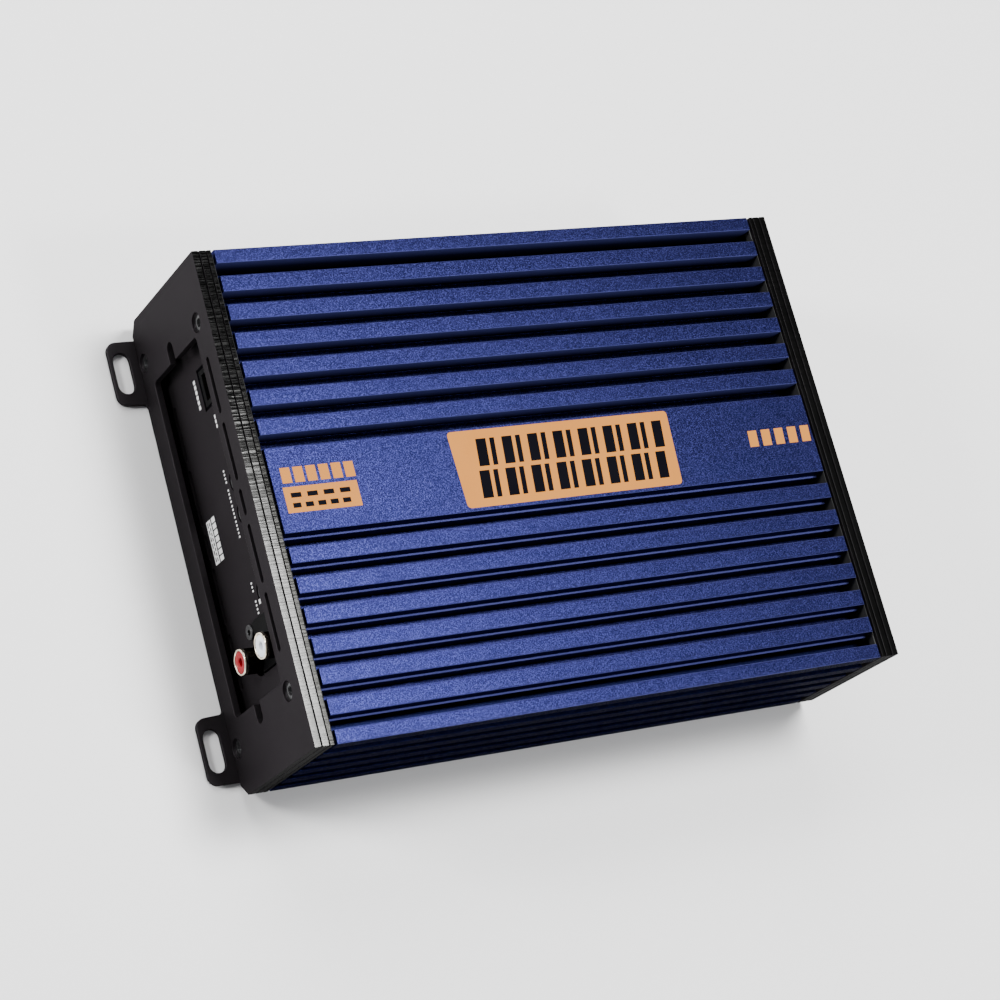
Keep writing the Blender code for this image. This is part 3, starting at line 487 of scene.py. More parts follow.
def turned(name: str, rings: Sequence[Ring], facing: Facing, seat: Sequence[float], finish: Finish,
           sides: int = 48) -> Object:
    """Turns a row of rings about an axis: x = r cos t, y = r sin t, z = h.

    On a hexagonal ring the radius is r / cos(t modulo 60 degrees, less 30 degrees), so r is half
    the distance across its flats. Rings run from the base up the outside and in at the top.

    Args:
        name: the object's name.
        rings: the profile.
        facing: the way the axis points.
        seat: the point of the axis at height 0.
        finish: its surface.
        sides: steps round the axis.

    Returns:
        The closed piece.
    """
    angle = np.linspace(0.0, 2 * np.pi, sides, endpoint=False)
    flat = 1.0 / np.cos(np.mod(angle, np.pi / 3) - np.pi / 6)
    radius = np.array([[ring.radius] for ring in rings]) * np.where(
        np.array([[ring.hexagonal] for ring in rings]), flat, 1.0)
    height = np.repeat(np.array([[ring.height] for ring in rings]), sides, axis=1)
    local = np.stack((radius * np.cos(angle), radius * np.sin(angle), height), axis=-1).reshape(-1, 3)
    made = make_object(name, seat_points(local, facing, seat), grid_faces(len(rings), sides), finish)
    weld(made)
    settle_shading(made)
    return made


def round_corners(points: np.ndarray, radius: float, steps: int = 3) -> np.ndarray:
    """Rounds every corner of a closed outline.

    Each corner P becomes a curve from A to B, both on its edges at the radius or at 45 % of a shorter
    edge: (1-t)^2 A + 2t(1-t) P + t^2 B.

    Args:
        points: the corners, one row each.
        radius: how far from a corner its curve starts.
        steps: pieces of each curve.

    Returns:
        The new outline.
    """
    before = np.roll(points, 1, axis=0) - points
    after = np.roll(points, -1, axis=0) - points
    back = np.linalg.norm(before, axis=1, keepdims=True)
    ahead = np.linalg.norm(after, axis=1, keepdims=True)
    start = points + before / back * np.minimum(radius, 0.45 * back)
    end = points + after / ahead * np.minimum(radius, 0.45 * ahead)
    t = np.linspace(0.0, 1.0, steps + 1)[None, :, None]
    curve = (1 - t) ** 2 * start[:, None] + 2 * t * (1 - t) * points[:, None] + t ** 2 * end[:, None]
    return curve.reshape(-1, 2)


def counter_clockwise(points: np.ndarray) -> np.ndarray:
    """The outline in its counter-clockwise order, from the sign of its shoelace area."""
    ahead = np.roll(points, -1, axis=0)
    area = np.sum(points[:, 0] * ahead[:, 1] - points[:, 1] * ahead[:, 0])
    return points if area > 0 else points[::-1]


def swept(name: str, outline: np.ndarray, stations: Sequence[tuple[float, float]], finish: Finish) -> Object:
    """Carries a closed outline in Y and Z along X, drawn in along its normals by each station's inset.

    Point (i, j) is outline[j] - inset[i] * normal[j] at x[i]; an end is one flat face.

    Args:
        name: the object's name.
        outline: the section's points.
        stations: (x, inset) pairs, x rising.
        finish: its surface.

    Returns:
        The closed piece.
    """
    section = counter_clockwise(outline)
    along = np.roll(section, -1, axis=0) - np.roll(section, 1, axis=0)
    normal = np.stack((along[:, 1], -along[:, 0]), axis=1)
    normal /= np.maximum(np.linalg.norm(normal, axis=1, keepdims=True), 1e-9)
    place = np.array(stations, float)
    flat = section[None] - place[:, 1][:, None, None] * normal[None]
    x = np.repeat(place[:, 0][:, None], len(section), axis=1)[..., None]
    points = np.concatenate((x, flat), axis=-1).reshape(-1, 3)
    count = len(section)
    last = (len(stations) - 1) * count
    faces = grid_faces(len(stations), count).tolist()
    faces += [list(range(count))[::-1], list(range(last, last + count))]
    made = make_object(name, points, faces, finish)
    settle_shading(made)
    return made


def tiles(name: str, corners: np.ndarray, rise: Sequence[float], finish: Finish) -> Object:
    """Thin slabs of print, one for each four-cornered outline.

    A slab's lower corners are its outline and its upper ones the outline plus the rise.

    Args:
        name: the object's name.
        corners: (n, 4, 3), each outline counter-clockwise seen from the printed side.
        rise: the vector from the lower to the upper face.
        finish: its surface.

    Returns:
        The slabs as one object.
    """
    upper = corners + np.array(rise, float)
    points = np.concatenate((corners, upper), axis=1).reshape(-1, 3)
    block = np.array([[3, 2, 1, 0], [4, 5, 6, 7], [0, 1, 5, 4], [1, 2, 6, 5], [2, 3, 7, 6], [3, 0, 4, 7]])
    faces = (block[None] + 8 * np.arange(len(corners))[:, None, None]).reshape(-1, 4)
    return make_object(name, points, faces, finish)


def softened(frame: dict, node: str, body: str, finish: Finish, width: float = 0.18 * MM,
             segments: int = 2, edge: Optional[Finish] = None) -> Object:
    """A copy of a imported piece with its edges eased, which stands for it.

    Args:
        node: the piece's node.
        body: the body it rides on.
        finish: its surface.
        width: how far the easing reaches from an edge.
        segments: steps of the easing.
        edge: the surface of its outer rim, where a sheet is cut.

    Returns:
        The new piece.
    """
    mesh = frame["nodes"][node].data.copy()
    mesh.materials.clear()
    work = bmesh.new()
    work.from_mesh(mesh)
    bmesh.ops.remove_doubles(work, verts=work.verts, dist=MERGE_DISTANCE)
    bmesh.ops.dissolve_limit(work, angle_limit=FLAT_ANGLE, verts=work.verts, edges=work.edges)
    low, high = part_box(node)
    for face in work.faces:
        middle = face.calc_center_median()
        rim = middle.z > high.z - RIM_BAND or abs(middle.y) > high.y - RIM_BAND
        face.material_index = 1 if edge and rim and abs(face.normal.x) < 0.5 else 0
    work.to_mesh(mesh)
    work.free()
    mesh.materials.append(finish.material())
    if edge:
        mesh.materials.append(edge.material())
    made = bpy.data.objects.new(node + "_surface", mesh)
    bpy.context.scene.collection.objects.link(made)
    bevel = made.modifiers.new("eased_edges", "BEVEL")
    bevel.width = width
    bevel.segments = segments
    bevel.limit_method = "ANGLE"
    bevel.angle_limit = SHARP_ANGLE
    bevel.use_clamp_overlap = False
    settle_shading(made)
    return settle(made, body, node)


def settle(made: Object, body: str, *replaced: str) -> Object:
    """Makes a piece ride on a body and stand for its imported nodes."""
    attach(made, body)
    if replaced:
        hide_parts(*replaced)
    LOG.info("%s rides on %s", made.name, body)
    return made


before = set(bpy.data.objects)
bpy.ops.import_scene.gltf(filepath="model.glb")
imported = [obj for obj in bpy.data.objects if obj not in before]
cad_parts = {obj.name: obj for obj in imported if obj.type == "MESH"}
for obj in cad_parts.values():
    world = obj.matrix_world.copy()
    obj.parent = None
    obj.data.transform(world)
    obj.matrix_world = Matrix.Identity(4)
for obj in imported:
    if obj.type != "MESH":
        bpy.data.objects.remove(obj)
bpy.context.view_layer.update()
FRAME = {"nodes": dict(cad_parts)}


def round_seat(node: str, end: int) -> tuple[tuple[float, float, float], float, float]:
    """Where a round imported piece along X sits.

    Args:
        node: the piece's node.
        end: 0 for its low end, 1 for its high one.

    Returns:
        The middle of that end, the piece's radius and its length.
    """
    low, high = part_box(node)
    seat = ((low, high)[end].x, (low.y + high.y) / 2, (low.z + high.z) / 2)
    return seat, (high.y - low.y) / 2, high.x - low.x


# ---------------------------------------------------------------- sub-assemblies
@dataclass
class Heatsink:
    """The extruded body: fins each side of a plain band, ribbed walls and an open underside."""

    band_half: float = 13.4 * MM
    strips: int = 7
    strip_width: float = 5.06 * MM
    groove: float = 4.2 * MM
    depth: float = 9.7 * MM
    ledge_depth: float = 4.2 * MM
    ledge_width: float = 0.78 * MM
    ledge_fall: float = 0.38 * MM
    head_depth: float = 5.6 * MM
    undercut: float = 1.2 * MM
    roof: float = 2.6 * MM
    wall_inner: float = 69.6 * MM
    top_rib: float = 5.25 * MM
    top_rib_groove: float = 2.3 * MM
    rib_tops: tuple[float, ...] = (46.9 * MM, 37.65 * MM, 28.4 * MM, 19.15 * MM, 9.9 * MM)
    rib_height: float = 5.06 * MM
    rib_groove: float = 5.0 * MM
    rib_drop: float = 1.05 * MM
    chamfer: float = 3.9 * MM
    boss_inner: float = 58.5 * MM
    boss_top: float = 9.5 * MM
    easing: float = 0.26 * MM
    end_inset: float = 0.04 * MM
    lengths: int = 9

    def fins(self, top: float) -> np.ndarray:
        """Outline of the top, from the band's edge outwards.

        Fin i starts at band + groove + i * (strip + groove). Each groove has a sloping ledge on the
        side towards the band and an undercut on the other; the last groove's far side is plain.

        Args:
            top: height of the fins' tops.

        Returns:
            Points in Y and Z.
        """
        floor = top - self.depth
        pitch = self.strip_width + self.groove
        edge = self.band_half + np.arange(self.strips)[:, None] * pitch
        start = edge + self.groove
        outer = edge + self.ledge_width
        near = [(edge, top), (edge, top - self.ledge_depth),
                (outer, top - self.ledge_depth - self.ledge_fall), (outer, floor)]
        far = [(start + self.undercut, floor), (start + self.undercut, top - self.head_depth),
               (start, top - self.head_depth), (start, top)]
        rows = [np.concatenate((y, np.full_like(edge, z)), axis=1) for y, z in near + far]
        every = np.stack(rows, axis=1).reshape(-1, 2)
        corner = float(start[-1, 0])
        return np.concatenate((every[:-4], np.array([(corner, floor), (corner, top)])))

    def walls(self, top: float, low: float, half: float) -> np.ndarray:
        """Outline of one side wall, from its top corner down to the chamfer.

        Each rib is a flat face with an undercut groove below it, whose floor falls inwards.

        Args:
            top: height of the body's top.
            low: height of its underside.
            half: half its width.

        Returns:
            Points in Y and Z.
        """
        upper = top - self.top_rib
        inner = half - self.top_rib_groove
        head = [(half, top), (half, upper), (inner, upper), (inner, self.rib_tops[0]), (half, self.rib_tops[0])]
        tops = np.array(self.rib_tops)
        below = tops[:-1] - self.rib_height
        deep = half - self.rib_groove
        steps = np.stack((
            np.stack((np.full_like(below, half), below), axis=1),
            np.stack((np.full_like(below, deep), below), axis=1),
            np.stack((np.full_like(below, deep), tops[1:] - self.rib_drop), axis=1),
            np.stack((np.full_like(below, half), tops[1:]), axis=1)), axis=1).reshape(-1, 2)
        foot = [(half, low + self.chamfer), (half - self.chamfer, low)]
        return np.concatenate((np.array(head), steps, np.array(foot)))

    def outline(self) -> np.ndarray:
        """The whole section, from its half at positive Y."""
        low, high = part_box("heatsink")
        ceiling = high.z - self.depth - self.roof
        inside = np.array([(self.boss_inner, low.z), (self.boss_inner, self.boss_top),
                           (self.wall_inner, self.boss_top), (self.wall_inner, ceiling)])
        half = np.concatenate((self.fins(high.z), self.walls(high.z, low.z, high.y), inside))
        return np.concatenate((half, half[::-1] * np.array([-1.0, 1.0])))

    def zone(self, centre: Vector, normal: Vector, top: float) -> int:
        """Which of the body's four finishes a face takes.

        Args:
            centre: the face's middle.
            normal: its direction.
            top: height of the fins' tops.

        Returns:
            0 for tops and hollows, 1 for the walls (painted shade), 2 for the fins' sides (painted light and
            shade), 3 for ledges and fins' edges (painted highlight).
        """
        outwards = normal.y * math.copysign(1.0, centre.y)
        sunk = top - centre.z
        if sunk < self.easing and 0.3 < abs(outwards) < 0.95:
            return 3
        if abs(centre.y) > self.wall_inner and outwards > -0.5 and sunk > self.easing:
            return 1
        if outwards < -0.5 and sunk < self.head_depth:
            return 2
        if normal.z > 0.8 and self.ledge_depth - self.easing < sunk < self.ledge_depth + 2 * self.ledge_fall:
            return 3
        return 0

    def build(self) -> None:
        """Sweeps the section between the gaskets, with its ends eased."""
        low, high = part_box("heatsink")
        outline = round_corners(self.outline(), self.easing)
        inset = self.end_inset
        stations = [(low.x, inset), (low.x + inset * 0.3, inset * 0.3), (low.x + inset, 0.0)]
        stations += [(x, 0.0) for x in np.linspace(low.x, high.x, self.lengths)[1:-1]]
        stations += [(high.x - inset, 0.0), (high.x - inset * 0.3, inset * 0.3), (high.x, inset)]
        body = swept("heatsink_surface", outline, stations, Finishes.BLUE)
        # The walls take a darker copy of the anodising (painted shade), the fins' sides a lighter copy that darkens
        # towards the groove floor (painted light and painted shade), and the ledges and fins' edges a paler copy
        # (painted highlight).
        for finish in (Finishes.SHADED_WALL, Finishes.PAINTED_LIGHT_FLANK, Finishes.HIGHLIGHT_BLUE):
            body.data.materials.append(finish.material())
        for face in body.data.polygons:
            face.material_index = self.zone(face.center, face.normal, high.z)
        settle(body, CHASSIS, "heatsink")


@dataclass
class EndStack:
    """The stack of sheets at one end, and the four countersunk screws that hold it."""

    end: str
    panel: str
    facing: Facing
    sheet_edge: Finish
    panel_edge: Finish
    head: float = 2.7 * MM
    shank: float = 1.25 * MM
    taper: float = 1.45 * MM
    hexagon: float = 1.25 * MM
    edge_break: float = 0.12 * MM
    socket_wall: float = 1.3 * MM
    socket_tip: float = 1.5 * MM

    def build(self) -> None:
        """Eases every sheet's edges, and turns the screws."""
        for part in ("face_plate", "spacer_frame"):
            softened(FRAME, f"{self.end}_{part}", CHASSIS, Finishes.BLACK, edge=self.sheet_edge)
        softened(FRAME, self.panel, CHASSIS, Finishes.BLACK, width=0.12 * MM, edge=self.panel_edge)
        gasket = FRAME["nodes"][self.end + "_gasket"].data
        gasket.materials.clear()
        gasket.materials.append(Finishes.RUBBER_AND_SHADE.material())
        for corner in ("top_front", "top_back", "low_front", "low_back"):
            self.screw(f"{self.end}_screw_{corner}")

    def screw(self, node: str) -> None:
        """Turns one countersunk screw with a hexagon socket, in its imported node's place."""
        seat, _, length = round_seat(node, 0 if self.facing is Facing.LEFT else 1)
        small = self.edge_break
        rings = [Ring(0.0, -length), Ring(self.shank, -length), Ring(self.shank, -self.taper),
                 Ring(self.head - small, -small * 1.2), Ring(self.head, -small), Ring(self.head - small, 0.0),
                 Ring(self.hexagon + small, 0.0, True), Ring(self.hexagon, -small, True),
                 Ring(self.hexagon, -self.socket_wall, True), Ring(0.0, -self.socket_tip)]
        settle(turned(node + "_surface", rings, self.facing, seat, Finishes.SCREW), CHASSIS, node)


@dataclass
class ShadeSheet:
    """A dark sheet in the gap between the power end's gasket and the fins, behind its upper vents: painted shade."""

    thickness: float = 0.14 * MM
    half: float = 70.0 * MM
    low: float = 47.4 * MM
    high: float = 57.2 * MM
    stand_off: float = 0.08 * MM

    def build(self) -> None:
        """Lays one thin sheet across the gap."""
        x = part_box("heatsink")[1].x + self.stand_off
        corners = np.array([[(x, -self.half, self.low), (x, self.half, self.low),
                             (x, self.half, self.high), (x, -self.half, self.high)]])
        # The dark sheet is painted shade behind the vents.
        sheet = tiles("right_vent_shade_sheet", corners, (self.thickness, 0.0, 0.0), Finishes.RUBBER_AND_SHADE)
        settle(sheet, CHASSIS)


@dataclass
class Base:
    """The base plate with its ears, and the screws under it."""

    shank: float = 1.25 * MM
    taper: float = 1.45 * MM
    socket: float = 1.15 * MM
    socket_wall: float = 0.9 * MM
    socket_tip: float = 1.0 * MM
    edge_break: float = 0.12 * MM

    def build(self) -> None:
        """Eases the plate's edges, and turns the screws."""
        softened(FRAME, "base_plate", CHASSIS, Finishes.BLACK, width=0.2 * MM)
        small = self.edge_break
        for index in (1, 2, 3, 4):
            node = f"base_screw_{index}"
            low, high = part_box(node)
            head = (high.x - low.x) / 2
            length = high.z - low.z
            seat = ((low.x + high.x) / 2, (low.y + high.y) / 2, low.z)
            rings = [Ring(0.0, -length), Ring(self.shank, -length), Ring(self.shank, -self.taper),
                     Ring(head, -small), Ring(head - small, 0.0), Ring(self.shank, 0.0, True),
                     Ring(self.socket, -small, True), Ring(self.socket, -self.socket_wall, True),
                     Ring(0.0, -self.socket_tip)]
            settle(turned(node + "_surface", rings, Facing.DOWN, seat, Finishes.SCREW), CHASSIS, node)


@dataclass
class Inputs:
    """Phono inputs, remote socket, indicator lamps and trimmers of the control end."""

    trimmers: tuple[str, ...] = ("filter", "boost", "gain")
    bore: float = 2.95 * MM
    rim_length: float = 1.3 * MM
    rim_wall: float = 0.5 * MM
    lip: float = 0.3 * MM
    edge_break: float = 0.1 * MM
    barrel_gap: float = 0.12 * MM
    contact_hole: float = 1.2 * MM
    contact_depth: float = 5.3 * MM
    pin_radius: float = 0.68 * MM
    pin_tip: float = 0.5 * MM
    pin_height: float = 5.3 * MM
    pin_floor: float = 6.8 * MM

    def build(self) -> None:
        """Dresses each fitting."""
        for node, finish in (("rca_housing", Finishes.PLASTIC), ("remote_socket", Finishes.PLASTIC),
                             ("rca_rivet", Finishes.SCREW)):
            softened(FRAME, node, CHASSIS, finish, width=0.15 * MM)
        for level, finish in (("upper", Finishes.WHITE), ("lower", Finishes.RED)):
            self.jack(level, finish)
        for name in self.trimmers:
            softened(FRAME, name + "_pot_body", CHASSIS, Finishes.PLASTIC, width=0.2 * MM)
            softened(FRAME, name + "_pot_rotor", name + "_rotor", Finishes.SCREW, width=0.15 * MM)
        self.lamp("power_led", Finishes.LAMP_GREEN)
        self.lamp("clip_led", Finishes.LAMP_RED)
        self.pins()
        self.gap()

    def jack(self, level: str, finish: Finish) -> None:
        """Turns one phono jack: a plated shell with a rolled rim, and a coloured insert in it. The barrel's darker
        copy of the nickel is painted shade.
        """
        node = level + "_rca_shell"
        seat, outer, reach = round_seat(node, 1)
        inner, small = self.bore, self.edge_break
        collar = reach - self.rim_length
        barrel = [Ring(inner, 0.0), Ring(outer - self.barrel_gap, 0.0), Ring(outer - self.barrel_gap, collar),
                  Ring(inner, collar), Ring(inner, 0.0)]
        # The barrel takes a darker copy of the rim's nickel: painted shade.
        settle(turned(node + "_surface", barrel, Facing.LEFT, seat, Finishes.SHADED_NICKEL, 64), CHASSIS, node)
        mouth = inner + self.rim_wall
        rolled = [Ring(mouth, collar), Ring(outer - small, collar), Ring(outer, collar + small),
                  Ring(outer, reach - self.lip), Ring(outer - small, reach - small), Ring(outer - self.lip, reach),
                  Ring(mouth + 0.15 * MM, reach), Ring(mouth, reach - 0.15 * MM), Ring(mouth, collar)]
        rim = turned(level + "_rca_rim", rolled, Facing.LEFT, seat, Finishes.NICKEL, 64)
        settle(rim, CHASSIS)
        node = level + "_rca_insert"
        (end, _, _), outer, reach = round_seat(node, 1)
        hole = self.contact_hole
        deep = reach - self.contact_depth
        flare = mouth - 0.05 * MM
        insert = [Ring(0.0, 0.0), Ring(outer, 0.0), Ring(outer, reach - MM), Ring(flare, reach - MM),
                  Ring(flare, reach - 0.25 * MM), Ring(flare - 0.2 * MM, reach),
                  Ring(hole + 0.5 * MM, reach), Ring(hole + 0.15 * MM, reach - 0.2 * MM), Ring(hole, reach - 0.5 * MM),
                  Ring(hole, deep), Ring(0.0, deep)]
        seat = (end, seat[1], seat[2])
        settle(turned(node + "_surface", insert, Facing.LEFT, seat, finish, 48), CHASSIS, node)

    def lamp(self, node: str, finish: Finish) -> None:
        """Turns a lamp with a round dome: radius r sin t at height r cos t above its collar."""
        seat, radius, reach = round_seat(node, 1)
        dome = np.linspace(np.pi / 2, 0.0, 9)
        rings = [Ring(0.0, 0.0), Ring(radius, 0.0)]
        rings += [Ring(radius * math.sin(t), reach - radius + radius * math.cos(t)) for t in dome]
        settle(turned(node + "_surface", rings, Facing.LEFT, seat, finish, 32), CHASSIS, node)

    def pins(self) -> None:
        """Gold sleeves over the four contact pins that stand up from the remote socket's floor."""
        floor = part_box("remote_socket")[0].x + self.pin_floor
        for number, (y, z) in enumerate(((40.4, 35.2), (40.4, 39.6), (45.3, 35.2), (45.3, 39.6))):
            rings = [Ring(0.0, -0.5 * MM), Ring(self.pin_radius, -0.5 * MM), Ring(self.pin_radius, 5.0 * MM),
                     Ring(self.pin_tip, self.pin_height), Ring(0.0, self.pin_height)]
            pin = turned(f"remote_pin_{number + 1}", rings, Facing.LEFT, (floor, y * MM, z * MM), Finishes.GOLD, 20)
            settle(pin, CHASSIS)

    def gap(self) -> None:
        """Dark slabs on three sides of the remote socket: painted shade of a gap between it and the panel."""
        rows = np.array([(36.1, 49.6, 30.5, 31.5), (48.6, 49.6, 30.5, 43.6), (36.1, 37.1, 30.5, 35.5)]) * MM
        PanelPrint().slabs("remote_socket_gap_shade", rows, 0.0, Finishes.DARK_PRINT_AND_SHADE)


@dataclass
class Outputs:
    """Terminal blocks, clamp screws and fuses of the power end."""

    clamps: dict[str, int] = field(default_factory=lambda: {"power": 3, "speaker": 2})
    ease: float = 0.2 * MM
    socket_mouth: float = 1.5 * MM
    socket: float = 1.35 * MM
    socket_wall: float = 2.4 * MM
    socket_tip: float = 2.6 * MM

    def build(self) -> None:
        """Dresses each fitting."""
        for node in ("power_terminal", "speaker_terminal", "fuse_holder"):
            softened(FRAME, node, CHASSIS, Finishes.PLASTIC, width=0.1 * MM)
        for name, count in self.clamps.items():
            for index in range(1, count + 1):
                self.clamp(f"{name}_clamp_screw_{index}")
        for level in ("upper", "lower"):
            softened(FRAME, level + "_fuse", level + "_fuse_body", Finishes.FUSE, width=0.3 * MM, segments=3)

    def clamp(self, node: str) -> None:
        """Turns one clamp screw, a plain cylinder with a hexagon socket and a pointed end."""
        seat, radius, length = round_seat(node, 1)
        rings = [Ring(0.0, -length), Ring(radius * 0.6, -length), Ring(radius, -length + radius * 0.4),
                 Ring(radius, -self.ease), Ring(radius - self.ease, 0.0), Ring(self.socket_mouth, 0.0, True),
                 Ring(self.socket, -0.15 * MM, True), Ring(self.socket, -self.socket_wall, True),
                 Ring(0.0, -self.socket_tip)]
        settle(turned(node + "_surface", rings, Facing.RIGHT, seat, Finishes.NICKEL), node + "_body", node)


@dataclass
class PanelPrint:
    """Generic marks printed on the control panel: ticks, short bars and one block."""

    thickness: float = 0.05 * MM
    ticks: tuple[tuple[float, float], ...] = ((15.8, 12.1), (9.7, 5.9), (5.4, 0.9), (-0.4, -5.3),
                                              (-19.2, -22.6), (-25.3, -29.5))

    def rows(self) -> np.ndarray:
        """Rectangles as y start, y end, z low and z high, in millimetres."""
        labels = [(y, y + 0.6, 32.0, 32.9) for end, start in self.ticks for y in np.arange(start, end, 1.2)]
        remote = [(38.2 + 1.65 * i, 39.4 + 1.65 * i, 26.4, 27.8) for i in range(6)]
        lamps = [(29.0 + 1.5 * i, 30.1 + 1.5 * i, 35.2, 36.2) for i in range(3)]
        bars = [(-7.0 + 2.05 * i, -5.4 + 2.05 * i, 15.6, 18.2) for i in range(7)]
        block = [(-7.0, 6.9, 11.6, 14.8)]
        inputs = [(-36.0, -34.6, 41.0, 42.2), (-27.2, -25.8, 34.6, 35.8)]
        return np.array(labels + remote + lamps + bars + block + inputs) * MM

    def slabs(self, name: str, rows: np.ndarray, lift: float, finish: Finish) -> None:
        """Lays rectangles on the panel as thin slabs.

        Args:
            name: the new piece's name.
            rows: y start, y end, z low and z high of each.
            lift: how far their lower faces stand off the panel.
            finish: the ink.
        """
        y0, y1, z0, z1 = rows.T
        x = np.full_like(y0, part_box("control_panel")[0].x + 0.01 * MM - lift)
        corners = np.stack((np.stack((x, y0, z0), axis=1), np.stack((x, y0, z1), axis=1),
                            np.stack((x, y1, z1), axis=1), np.stack((x, y1, z0), axis=1)), axis=1)
        ink = tiles(name, corners, (-self.thickness, 0.0, 0.0), finish)
        settle(ink, CHASSIS)

    def build(self) -> None:
        """Lays the white marks, and the dark slots on their block."""
        self.slabs("panel_print", self.rows(), 0.0, Finishes.WHITE_INK)
        upper = [(-6.2 + 1.6 * i, -5.1 + 1.6 * i, 13.5, 14.1) for i in range(8)]
        lower = [(-6.2 + 2.2 * i, -4.7 + 2.2 * i, 12.2, 12.8) for i in range(6)]
        self.slabs("panel_print_slots", np.array(upper + lower) * MM, 0.03 * MM, Finishes.DARK_PRINT_AND_SHADE)


@dataclass
class BandPrint:
    """Generic gold shapes on the middle band: a slanted panel, a block and rows of bars."""

    thickness: float = 0.05 * MM
    badge: tuple[tuple[float, float], ...] = ((-35.7, -12.3), (42.6, -12.3), (44.1, 12.6), (-36.4, 12.6))

    def quads(self, rows: Sequence[Sequence[float]], slant: float, height: float) -> np.ndarray:
        """Bars leaning along X, from x start, x end, y low and y high in millimetres.

        Args:
            rows: one row for each bar.
            slant: how far a bar's upper end is moved along X, for each unit of its length in Y.
            height: of the bars' lower faces.

        Returns:
            Their corners, (n, 4, 3).
        """
        x0, x1, y0, y1 = (np.array(rows, float) * MM).T
        z = np.full_like(x0, height)
        lean = slant * (y1 - y0)
        return np.stack((np.stack((x0, y0, z), axis=1), np.stack((x1, y0, z), axis=1),
                         np.stack((x1 + lean, y1, z), axis=1), np.stack((x0 + lean, y1, z), axis=1)), axis=1)

    def panel(self, top: float) -> Object:
        """The slanted panel: its outline has rounded corners, and rises by the print's thickness.

        Args:
            top: height of its lower face.

        Returns:
            The panel.
        """
        outline = counter_clockwise(round_corners(np.array(self.badge) * MM, 1.6 * MM, 5))
        count = len(outline)
        levels = (top, top + self.thickness)
        points = np.concatenate([np.column_stack((outline, np.full(count, level))) for level in levels])
        faces = grid_faces(2, count).tolist()
        faces += [list(range(count))[::-1], list(range(count, 2 * count))]
        return make_object("band_print_panel", points, faces, Finishes.GOLD_INK)

    def build(self) -> None:
        """Lays the gold shapes, and the dark bars on them."""
        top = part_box("heatsink")[1].z - 0.01 * MM
        block = self.quads([(-94.9, -70.4, -7.4, 0.7)], 0.0, top)
        left = self.quads([(-94.4 + 4.2 * i, -91.2 + 4.2 * i, 1.9, 6.8) for i in range(6)], 0.0, top)
        right = self.quads([(72.2 + 5.2 * i, 75.6 + 5.2 * i, -2.7, 2.8) for i in range(5)], 0.08, top)
        gold = tiles("band_print_gold", np.concatenate((block, left, right)), (0, 0, self.thickness),
                     Finishes.GOLD_INK)
        for piece in (gold, self.panel(top)):
            settle(piece, CHASSIS)
        above = top + self.thickness * 0.7
        columns = [(-29.5 + 9.2 * i, -25.9 + 9.2 * i) for i in range(8)]
        columns += [(-24.6 + 9.2 * i, -22.9 + 9.2 * i) for i in range(7)]
        bars = [(a, b, -9.6, -0.7) for a, b in columns] + [(a + 1.6, b + 1.6, 0.7, 9.6) for a, b in columns]
        slots = [(-92.8 + 5.4 * i, -89.4 + 5.4 * i, -2.7, -1.2) for i in range(4)]
        slots += [(-92.8 + 4.1 * i, -90.2 + 4.1 * i, -5.9, -4.4) for i in range(5)]
        dark = tiles("band_print_dark", np.concatenate((self.quads(bars, 0.1, above), self.quads(slots, 0.0, above))),
                     (0, 0, self.thickness * 0.6), Finishes.DARK_PRINT_AND_SHADE)
        settle(dark, CHASSIS)


@dataclass
class Inside:
    """Boards, coils, capacitors, transistors and their clamp bars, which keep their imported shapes."""

    def build(self) -> None:
        """Gives each piece its finish."""
        plan = {"main_board": Finishes.GREEN_BOARD, "control_board": Finishes.GREEN_BOARD,
                "toroid_transformer": Finishes.TOROID, "output_inductor": Finishes.COIL,
                "front_clamp_bar": Finishes.MILLED, "back_clamp_bar": Finishes.MILLED}
        plan.update({f"capacitor_{i}": Finishes.SLEEVE for i in (1, 2, 3)})
        plan.update({f"{wall}_transistor_{i}": Finishes.PLASTIC for wall in ("front", "back") for i in (1, 2)})
        for node, finish in plan.items():
            mesh = FRAME["nodes"][node].data
            mesh.materials.clear()
            mesh.materials.append(finish.material())
            LOG.info("%s keeps its packed shape", node)


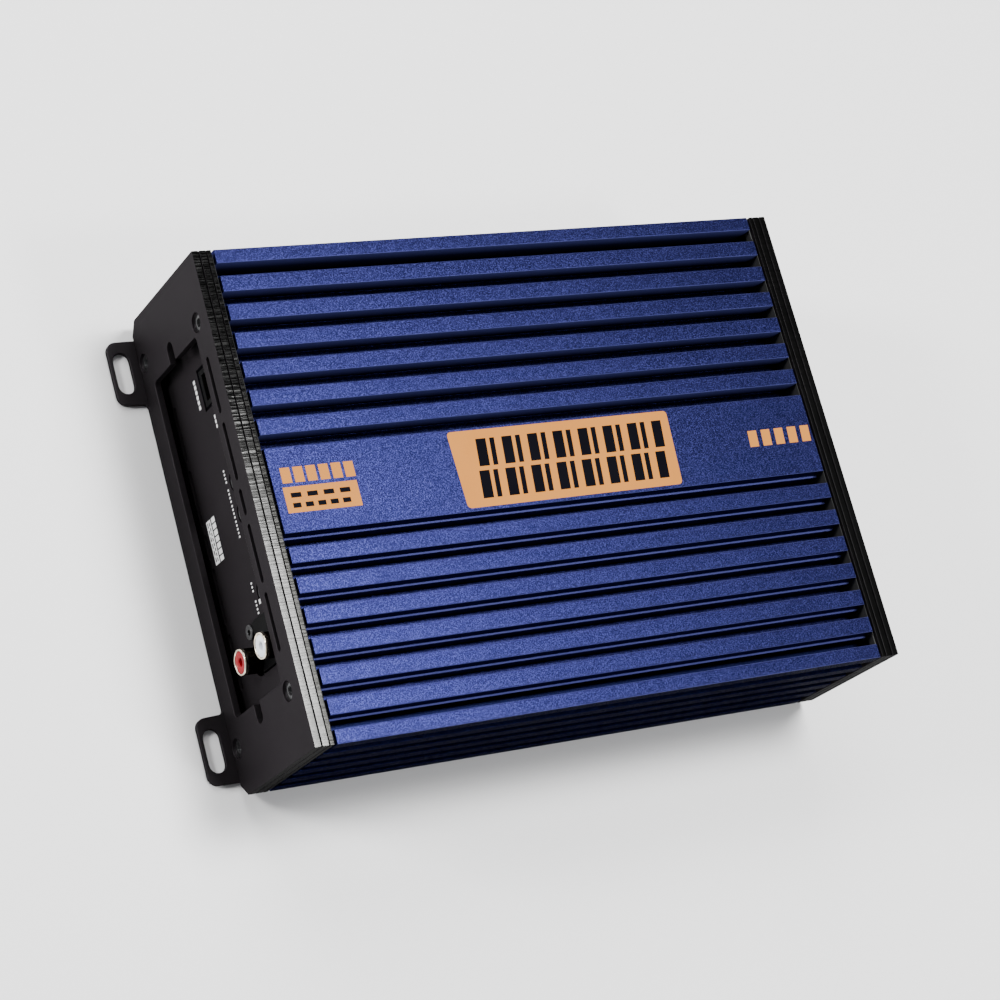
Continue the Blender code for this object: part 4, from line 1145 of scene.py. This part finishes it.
@dataclass
class Studio:
    """Pale floor, soft lights and the camera."""

    eye: tuple[float, float, float] = (-0.44815, -0.22665, 0.76257)
    ahead: tuple[float, float, float] = (0.49857, 0.25394, -0.82882)
    upward: tuple[float, float, float] = (0.09957, 0.93302, 0.34577)
    lens: float = 100.44
    sensor: float = 36.0
    clip_start: float = 0.05
    sky: tuple[float, float, float, float] = (0.95, 0.96, 1.0, 1.0)
    sky_strength: float = 0.22
    reach: float = 6.0
    floor_gap: float = 0.3 * MM

    def floor(self) -> None:
        """A pale, faintly mottled floor."""
        corners = np.array([(-1, -1, 0), (1, -1, 0), (1, 1, 0), (-1, 1, 0)], float) * self.reach
        corners[:, 2] = -self.floor_gap
        paper = Finish("pale_floor", (0.86, 0.86, 0.86), (0.88, 0.88, 0.88), (0.75, 0.85), grain_size=4 * MM,
                       drift_size=0.6, depth=0.01 * MM)
        make_object("floor", corners, [(0, 1, 2, 3)], paper)

    def light(self, name: str, place: Sequence[float], aim: Sequence[float], size: Sequence[float],
              power: float) -> None:
        """Adds a soft rectangular light that faces a point."""
        data = bpy.data.lights.new(name, "AREA")
        data.shape = "RECTANGLE"
        data.size, data.size_y = size
        data.energy = power
        lamp = bpy.data.objects.new(name, data)
        bpy.context.scene.collection.objects.link(lamp)
        lamp.location = place
        lamp.rotation_euler = (Vector(aim) - Vector(place)).to_track_quat("-Z", "Y").to_euler()

    def build(self) -> None:
        """Sets the stage, the lights and the camera."""
        self.floor()
        self.light("key", (0.3, 0.2, 1.45), (0.0, 0.0, 0.05), (0.4, 0.4), 40.0)
        self.light("wash", (-0.2, 1.6, 1.5), (0.0, 0.0, 0.0), (1.4, 1.4), 38.0)
        self.light("rim", (0.55, -0.7, 1.3), (0.0, 0.0, 0.05), (0.25, 0.25), 9.0)
        self.light("side", (-1.1, 0.35, 0.65), (-0.1, 0.0, 0.03), (0.25, 0.25), 14.0)
        world = bpy.data.worlds.new("studio")
        world.use_nodes = True
        world.node_tree.nodes["Background"].inputs[0].default_value = self.sky
        world.node_tree.nodes["Background"].inputs[1].default_value = self.sky_strength
        bpy.context.scene.world = world
        data = bpy.data.cameras.new("camera")
        data.lens = self.lens
        data.sensor_width = self.sensor
        data.clip_start = self.clip_start
        camera = bpy.data.objects.new("camera", data)
        bpy.context.scene.collection.objects.link(camera)
        back = -Vector(self.ahead).normalized()
        up = Vector(self.upward).normalized()
        right = up.cross(back).normalized()
        up = back.cross(right)
        turn = Matrix((right, up, back)).transposed().to_4x4()
        camera.matrix_world = Matrix.Translation(self.eye) @ turn
        bpy.context.scene.camera = camera


def main() -> None:
    """Builds every sub-assembly, then the studio."""
    logging.basicConfig(level=logging.INFO, format="%(message)s")
    assemblies = (
        Heatsink(), Base(),
        EndStack("left", "control_panel", Facing.LEFT, Finishes.EDGE, Finishes.PANEL_EDGE),
        EndStack("right", "terminal_panel", Facing.RIGHT, Finishes.BLACK_EDGE, Finishes.BLACK_EDGE),
        ShadeSheet(), Inputs(), Outputs(), PanelPrint(), BandPrint(), Inside(), Studio())
    for assembly in assemblies:
        assembly.build()


if __name__ == "__main__":
    main()
